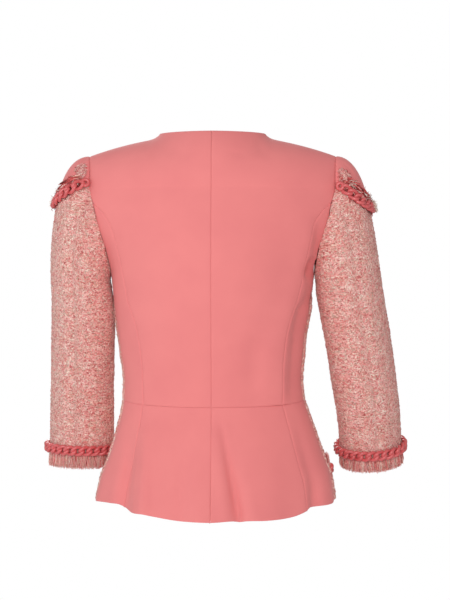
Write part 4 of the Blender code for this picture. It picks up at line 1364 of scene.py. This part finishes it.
class Path:
    """A line on the cloth, read by distance: point, direction, normal and crosswise."""

    def __init__(self, place, looped=False, samples=400):
        share = np.linspace(0, 1, samples + 1)
        self.points, normals = place(share)
        self.looped = looped
        steps = np.linalg.norm(np.diff(self.points, axis=0), axis=1)
        self.lengths = np.concatenate([[0], np.cumsum(steps)])
        self.length = self.lengths[-1]
        if looped:
            around = np.concatenate([self.points[-2:-1], self.points, self.points[1:2]])
            along = around[2:] - around[:-2]
        else:
            along = np.gradient(self.points, axis=0)
        self.along = unit(along)
        self.normals = square_to(self.along, normals)

    def at(self, distance):
        distance = np.mod(distance, self.length) if self.looped else np.clip(distance, 0, self.length)

        def read(values):
            return np.stack([np.interp(distance, self.lengths, column) for column in values.T], -1)

        along = unit(read(self.along))
        normal = unit(read(self.normals))
        return read(self.points), along, normal, np.cross(along, normal)

    def spread(self, count):
        """As at(), at places scattered along it."""
        return self.at(RANDOM.uniform(0, 1, count) * self.length)


def shoulder_path(side):
    """Along the lower edge of the sleeve head, from its front end to its back end."""
    cap = CAPS[side]

    def place(share):
        turn = np.radians(mix(-SHOULDER_CHAIN_SPAN, SHOULDER_CHAIN_SPAN, share))
        column = HEAD_REACH[side] * np.sin(turn)
        reach = cap.head_share(column)
        return cap.point(column, reach), cap.normal(column, reach)
    return Path(place)


def cuff_path(side, height):
    def place(share):
        angle = 2 * np.pi * share
        level = np.full_like(angle, height)
        point = tube_point(side, angle, level)
        return point, unit(tube_point(side, angle, level, 1.0) - point)
    return Path(place, looped=True)


def peplum_path(side, drop):
    def place(share):
        angle = PEPLUM_TRIM_START[side] + PEPLUM_TRIM_TURN * share
        level = np.full_like(angle, drop)
        ahead, behind = (peplum_point(side, angle + step, level) for step in (ANGLE_STEP, -ANGLE_STEP))
        below, above = (peplum_point(side, angle, level + step) for step in (DROP_STEP, -DROP_STEP))
        return peplum_point(side, angle, level), unit(np.cross(ahead - behind, below - above)) * side
    return Path(place)


# --- chains ---

CHAIN_PITCH = 10.1
WIRE = 2.55                   # radius of a link's wire
LINK_HALF_LENGTH = 8.0
LINK_HALF_WIDTH = 5.2
LINK_TWIST = math.radians(52)
LINK_FLATNESS = 0.95          # links lie flatter than round wire would
LINK_LIFT = 4.2               # their middle, off the cloth
LINK_STEPS = 24
LINK_TURN_STEP = 0.01         # a short step along a link, in radians
WIRE_SIDES = 8
RING_RADIUS = 4.3
RING_LIFT = 5.0
RING_INSET = {LEFT: 1.0, RIGHT: 1.5}           # its middle, from the end of the chain's line
LINK_WOBBLE = 0.06


def link_points(half_length, half_width, twist):
    """One link round the origin: x along the chain, y across it, z off the cloth."""
    turn = np.arange(LINK_STEPS) * 2 * np.pi / LINK_STEPS

    def centre_line(turn):
        angle = twist * np.cos(turn)
        y = half_width * np.sin(turn)
        return points_at(half_length * np.cos(turn), y * np.cos(angle), y * np.sin(angle))

    middle = centre_line(turn)
    along = unit(centre_line(turn + LINK_TURN_STEP) - centre_line(turn - LINK_TURN_STEP))
    wire = circle(along, square_to(along, unit(middle)), WIRE_SIDES) * WIRE
    return ((middle[:, None] + wire) * (1, 1, LINK_FLATNESS)).reshape(-1, 3)


def make_chain(node, path, ring_inset=None):
    """Interlocked curb links along a path, with a flat round ring at its end if it has an inset."""
    last = path.length if ring_inset is None else path.length - ring_inset + CHAIN_PITCH / 2
    count = round(last / CHAIN_PITCH)
    shapes = [(link_points(LINK_HALF_LENGTH, LINK_HALF_WIDTH, LINK_TWIST), LINK_LIFT)] * count
    if ring_inset is not None:
        shapes[-1] = (link_points(RING_RADIUS, RING_RADIUS, 0.0), RING_LIFT)
    points = []
    for index, (shape, lift) in enumerate(shapes):
        point, along, normal, across = path.at((index + 0.5) * last / count)
        x, y, z = shape.T
        tilt = RANDOM.normal(0, LINK_WOBBLE)
        crosswise = y * math.cos(tilt) - z * math.sin(tilt)
        height = y * math.sin(tilt) + z * math.cos(tilt) + lift
        points.append(point + np.outer(x, along) + np.outer(crosswise, across) + np.outer(height, normal))
    one = quads(LINK_STEPS + 1, WIRE_SIDES, closed=True)[0] % (LINK_STEPS * WIRE_SIDES)
    faces = np.concatenate([one + index * len(one) for index in range(count)])
    item = make_mesh(node + "_links", np.concatenate(points), faces, np.zeros((faces.size, 2)), CHAIN)
    return give(item, "chain", node)


# --- trims ---

CUFF_YARNS = 3000
CUFF_CRINKLES = 2200
CUFF_ROOTS = -2.5             # where a cuff's yarns start, below the hem
CRINKLE_ROOTS = (1, 17)       # and its crinkled ends, below those
CUFF_YARN_DEPTH = 0.9         # how far below the sleeve's surface the two start
CRINKLE_DEPTH = 0.4
CUFF_LIFT = {LEFT: 0.5, RIGHT: 2.5}            # of a cuff's chain, above its usual place
CUFF_SHARE = {LEFT: 1.0, RIGHT: 0.84}          # of a cuff's yarns, of their usual length
PEPLUM_YARNS = 560
PEPLUM_ROOT_LIFT = 1.4
SHOULDER_ROOT_LIFT = 1.2
# Frayed tweed at the back end of each sleeve head: yarns, armhole steps, shares of the
# cap and colours
PATCHES = {
    LEFT: [(700, (2.7, 4.4), (0.04, 0.13), "patch")],
    RIGHT: [(520, (3.5, 4.6), (0.05, 0.16), "patch"), (520, (4.5, 5.4), (0.06, 0.2), "rough")],
}
PATCH_RUN = 3.6
PATCH_LIFT = (1.9, 3.1)
PATCH_ARCH = 0.4
PATCH_BOW = 1.2
PATCH_BEND = 0.8
PATCH_RADIUS = (0.3, 0.6)
# Yarns in each shoulder trim: how many, the shares of the chain's length that they
# cover, how far above the chain their roots lie, and the way they lie: outward along
# the chain, up from it and out from the cloth
SHOULDER_YARNS = {
    "braid": ({LEFT: 460, RIGHT: 330}, (0.02, 0.98), (3, 15), (0.9, 0.12, 0.0)),
    "frays": ({LEFT: 90, RIGHT: 170}, (0.02, 0.98), (0, 13), (0.8, 0.5, 0.1)),
    "curls": ({LEFT: 40, RIGHT: 260}, (0.04, 0.96), (2, 14), (0.4, 0.2, 0.2)),
    "loops": ({LEFT: 40, RIGHT: 150}, (0.1, 0.9), (-6, 9), (0.8, 0.1, 0.0)),
    # painted shade under the chain's links
    "shade_under_chain": ({LEFT: 160, RIGHT: 260}, (0.04, 0.96), (-5, 7), (0.8, 0.0, 0.0)),
    "tuft": ({LEFT: 45, RIGHT: 460}, (0.5, 0.6), (-3, 8), (0.5, -0.15, 0.9)),
}


def shoulder_batch(side, path, kind):
    """One kind of yarn in the band above the shoulder chain."""
    counts, covered, rise, (outward, upward, away) = SHOULDER_YARNS[kind]
    share = RANDOM.uniform(*covered, counts[side])
    point, along, normal, across = path.at(share * path.length)
    up = across * -side
    towards_outside = along * np.sign(0.5 - share)[:, None]
    hang = unit(towards_outside * outward + up * upward + normal * away)
    root = point + normal * SHOULDER_ROOT_LIFT + up * drawn(counts[side], *rise)
    return grow(root, np.cross(normal, hang), normal, hang, LOCKS[kind])


def patch_batch(side, count, columns, shares, mix_name):
    """Short yarns in a frayed patch on the sleeve head."""
    cap = CAPS[side]
    column = RANDOM.uniform(*columns, count)
    share = RANDOM.uniform(*shares, count)
    root, normal = cap.point(column, share), cap.normal(column, share)
    down = unit(cap.point(column, share + SHARE_STEP) - root)
    over = np.cross(normal, down)
    run = (down * scatter(count, 1) + over * scatter(count, 1)) * PATCH_RUN
    lift = normal * drawn(count, *PATCH_LIFT)
    arch = over * scatter(count, PATCH_BOW) + normal * PATCH_ARCH
    radii = RANDOM.uniform(*PATCH_RADIUS, count)
    return root + lift, run, arch, down * scatter(count, PATCH_BEND), radii, tones(count, mix_name)


def make_trims(side):
    name = SIDE_NAMES[side]
    shoulder = shoulder_path(side)
    make_chain("shoulder_chain_" + name, shoulder, RING_INSET[side])
    make_chain("cuff_chain_" + name, cuff_path(side, CUFF_CHAIN_HEIGHT + CUFF_LIFT[side]))
    make_chain("peplum_chain_" + name, peplum_path(side, PEPLUM_CHAIN_DROP))

    def hand_in(place, batches, rings=FINE_RINGS):
        node = place + "_fringe_"
        keep_threads(node + "threads_" + name, "fringe", batches, node + name, rings=rings)

    hem = cuff_path(side, SLEEVE_HEM)
    hang = sleeve_axis(side, np.array(SLEEVE_HEM)).reshape(1, 3)
    lock = LOCKS["cuff"]._replace(length=LOCKS["cuff"].length * CUFF_SHARE[side])
    point, along, normal, _ = hem.spread(CUFF_YARNS)
    yarns = grow(point - normal * CUFF_YARN_DEPTH + hang * CUFF_ROOTS, along, normal, hang, lock)
    point, along, normal, _ = hem.spread(CUFF_CRINKLES)
    drop = drawn(CUFF_CRINKLES, *CRINKLE_ROOTS) * CUFF_SHARE[side] + CUFF_ROOTS
    crinkles = grow(point - normal * CRINKLE_DEPTH + hang * drop, along, normal, hang, LOCKS["crinkles"])
    hand_in("cuff", [yarns, crinkles])

    batches = [patch_batch(side, *patch) for patch in PATCHES[side]]
    batches += [shoulder_batch(side, shoulder, kind) for kind in SHOULDER_YARNS]
    hand_in("shoulder", batches, THREAD_RINGS)

    point, along, normal, across = peplum_path(side, PEPLUM_STRIP_DROP).spread(PEPLUM_YARNS)
    root = point + normal * PEPLUM_ROOT_LIFT
    hand_in("peplum", [grow(root, along, normal, across * side, LOCKS["peplum"])])


for side in (LEFT, RIGHT):
    make_trims(side)

for node, (cloth, item, slot) in CLOTHS.items():
    loops = [make_loops(node, cloth)] if slot == "tweed" else []
    over = lengths_along(cloth.seam_closed(), 1)[:, -1].max() * MILLIMETRE
    down = lengths_along(cloth.grid, 0)[-1].max() * MILLIMETRE
    min(cloth.area(), over * down)


# --- stage, light and camera ---

PIXEL = 0.0014                # metres at the jacket's middle for one pixel of the picture
PICTURE_HEIGHT = 600
CAMERA_YAW = math.radians(1)
CAMERA_DISTANCE = 3.0
CAMERA_LEVEL = -0.228
PRINCIPAL_OFFSET = 12.3       # the picture's middle lies this many pixels right of the neck's
SENSOR = 36
FLOOR_LEVEL = -0.83
FLOOR_RADIUS = 1.2
FLOOR_SIDES = 96
FLOOR_COLOUR = (0.86, 0.86, 0.86, 1)
SKY_COLOUR = (1, 0.985, 0.97, 1)
SKY_STRENGTH = 0.47
Light = namedtuple("Light", "place size power colour")
LIGHTS = {
    "key": Light((0.0, 2.8, 0.3), 1.3, 34, (1, 1, 1)),
    "left": Light((1.8, 2.0, 0.4), 1.3, 9, (0.72, 1, 1)),
    "side": Light((2.6, 0.7, 0.2), 1.2, 9, (0.72, 1, 1)),
    "low": Light((0.3, 2.2, -1.6), 1.3, 9, (1, 1, 1)),
    "front": Light((0.6, -2.6, 0.9), 1.6, 34, (1, 1, 1)),
}
AIM = Vector((0, 0, -0.26))


def place_looking(name, data, place, direction):
    """A camera or a light at a place, turned to look along a direction."""
    item = bpy.data.objects.new(name, data)
    item.location = place
    item.rotation_euler = direction.to_track_quat("-Z", "Y").to_euler()
    bpy.context.scene.collection.objects.link(item)
    return item


def make_camera():
    towards = Vector((-math.sin(CAMERA_YAW), math.cos(CAMERA_YAW), 0))
    right = Vector((-math.cos(CAMERA_YAW), -math.sin(CAMERA_YAW), 0))
    data = bpy.data.cameras.new("camera")
    data.sensor_width = SENSOR
    data.lens = SENSOR * CAMERA_DISTANCE / (PICTURE_HEIGHT * PIXEL)
    offset = right * PRINCIPAL_OFFSET * PIXEL
    place = towards * CAMERA_DISTANCE + offset + Vector((0, 0, CAMERA_LEVEL))
    bpy.context.scene.camera = place_looking("camera", data, place, -towards)


def make_light(name, light):
    data = bpy.data.lights.new(name, "AREA")
    data.shape = "DISK"
    data.size = light.size
    data.energy = light.power
    data.color = light.colour
    place_looking(name, data, light.place, AIM - Vector(light.place))


def make_sky():
    """A soft pale surround that the camera sees as plain white."""
    scene = bpy.context.scene
    scene.view_settings.view_transform = "Standard"
    scene.world = bpy.data.worlds.new("studio")
    scene.world.use_nodes = True
    tree = scene.world.node_tree
    glow = tree.nodes["Background"]
    glow.inputs["Color"].default_value = SKY_COLOUR
    glow.inputs["Strength"].default_value = SKY_STRENGTH
    seen = add_node(tree, "Background", {"Color": (1, 1, 1, 1)})
    is_camera = add_node(tree, "LightPath").outputs["Is Camera Ray"]
    either = add_node(tree, "MixShader", {0: is_camera, 1: glow.outputs[0], 2: seen.outputs[0]})
    tree.links.new(either.outputs[0], tree.nodes["World Output"].inputs["Surface"])


def make_floor():
    bpy.ops.mesh.primitive_circle_add(vertices=FLOOR_SIDES, radius=FLOOR_RADIUS, fill_type="NGON")
    floor = bpy.context.object
    floor.name = "floor"
    floor.location.z = FLOOR_LEVEL
    floor.data.materials.append(Shader("pale_floor", Roughness=0.8, Base_Color=FLOOR_COLOUR).material)


make_sky()
make_floor()
for name, light in LIGHTS.items():
    make_light(name, light)
make_camera()
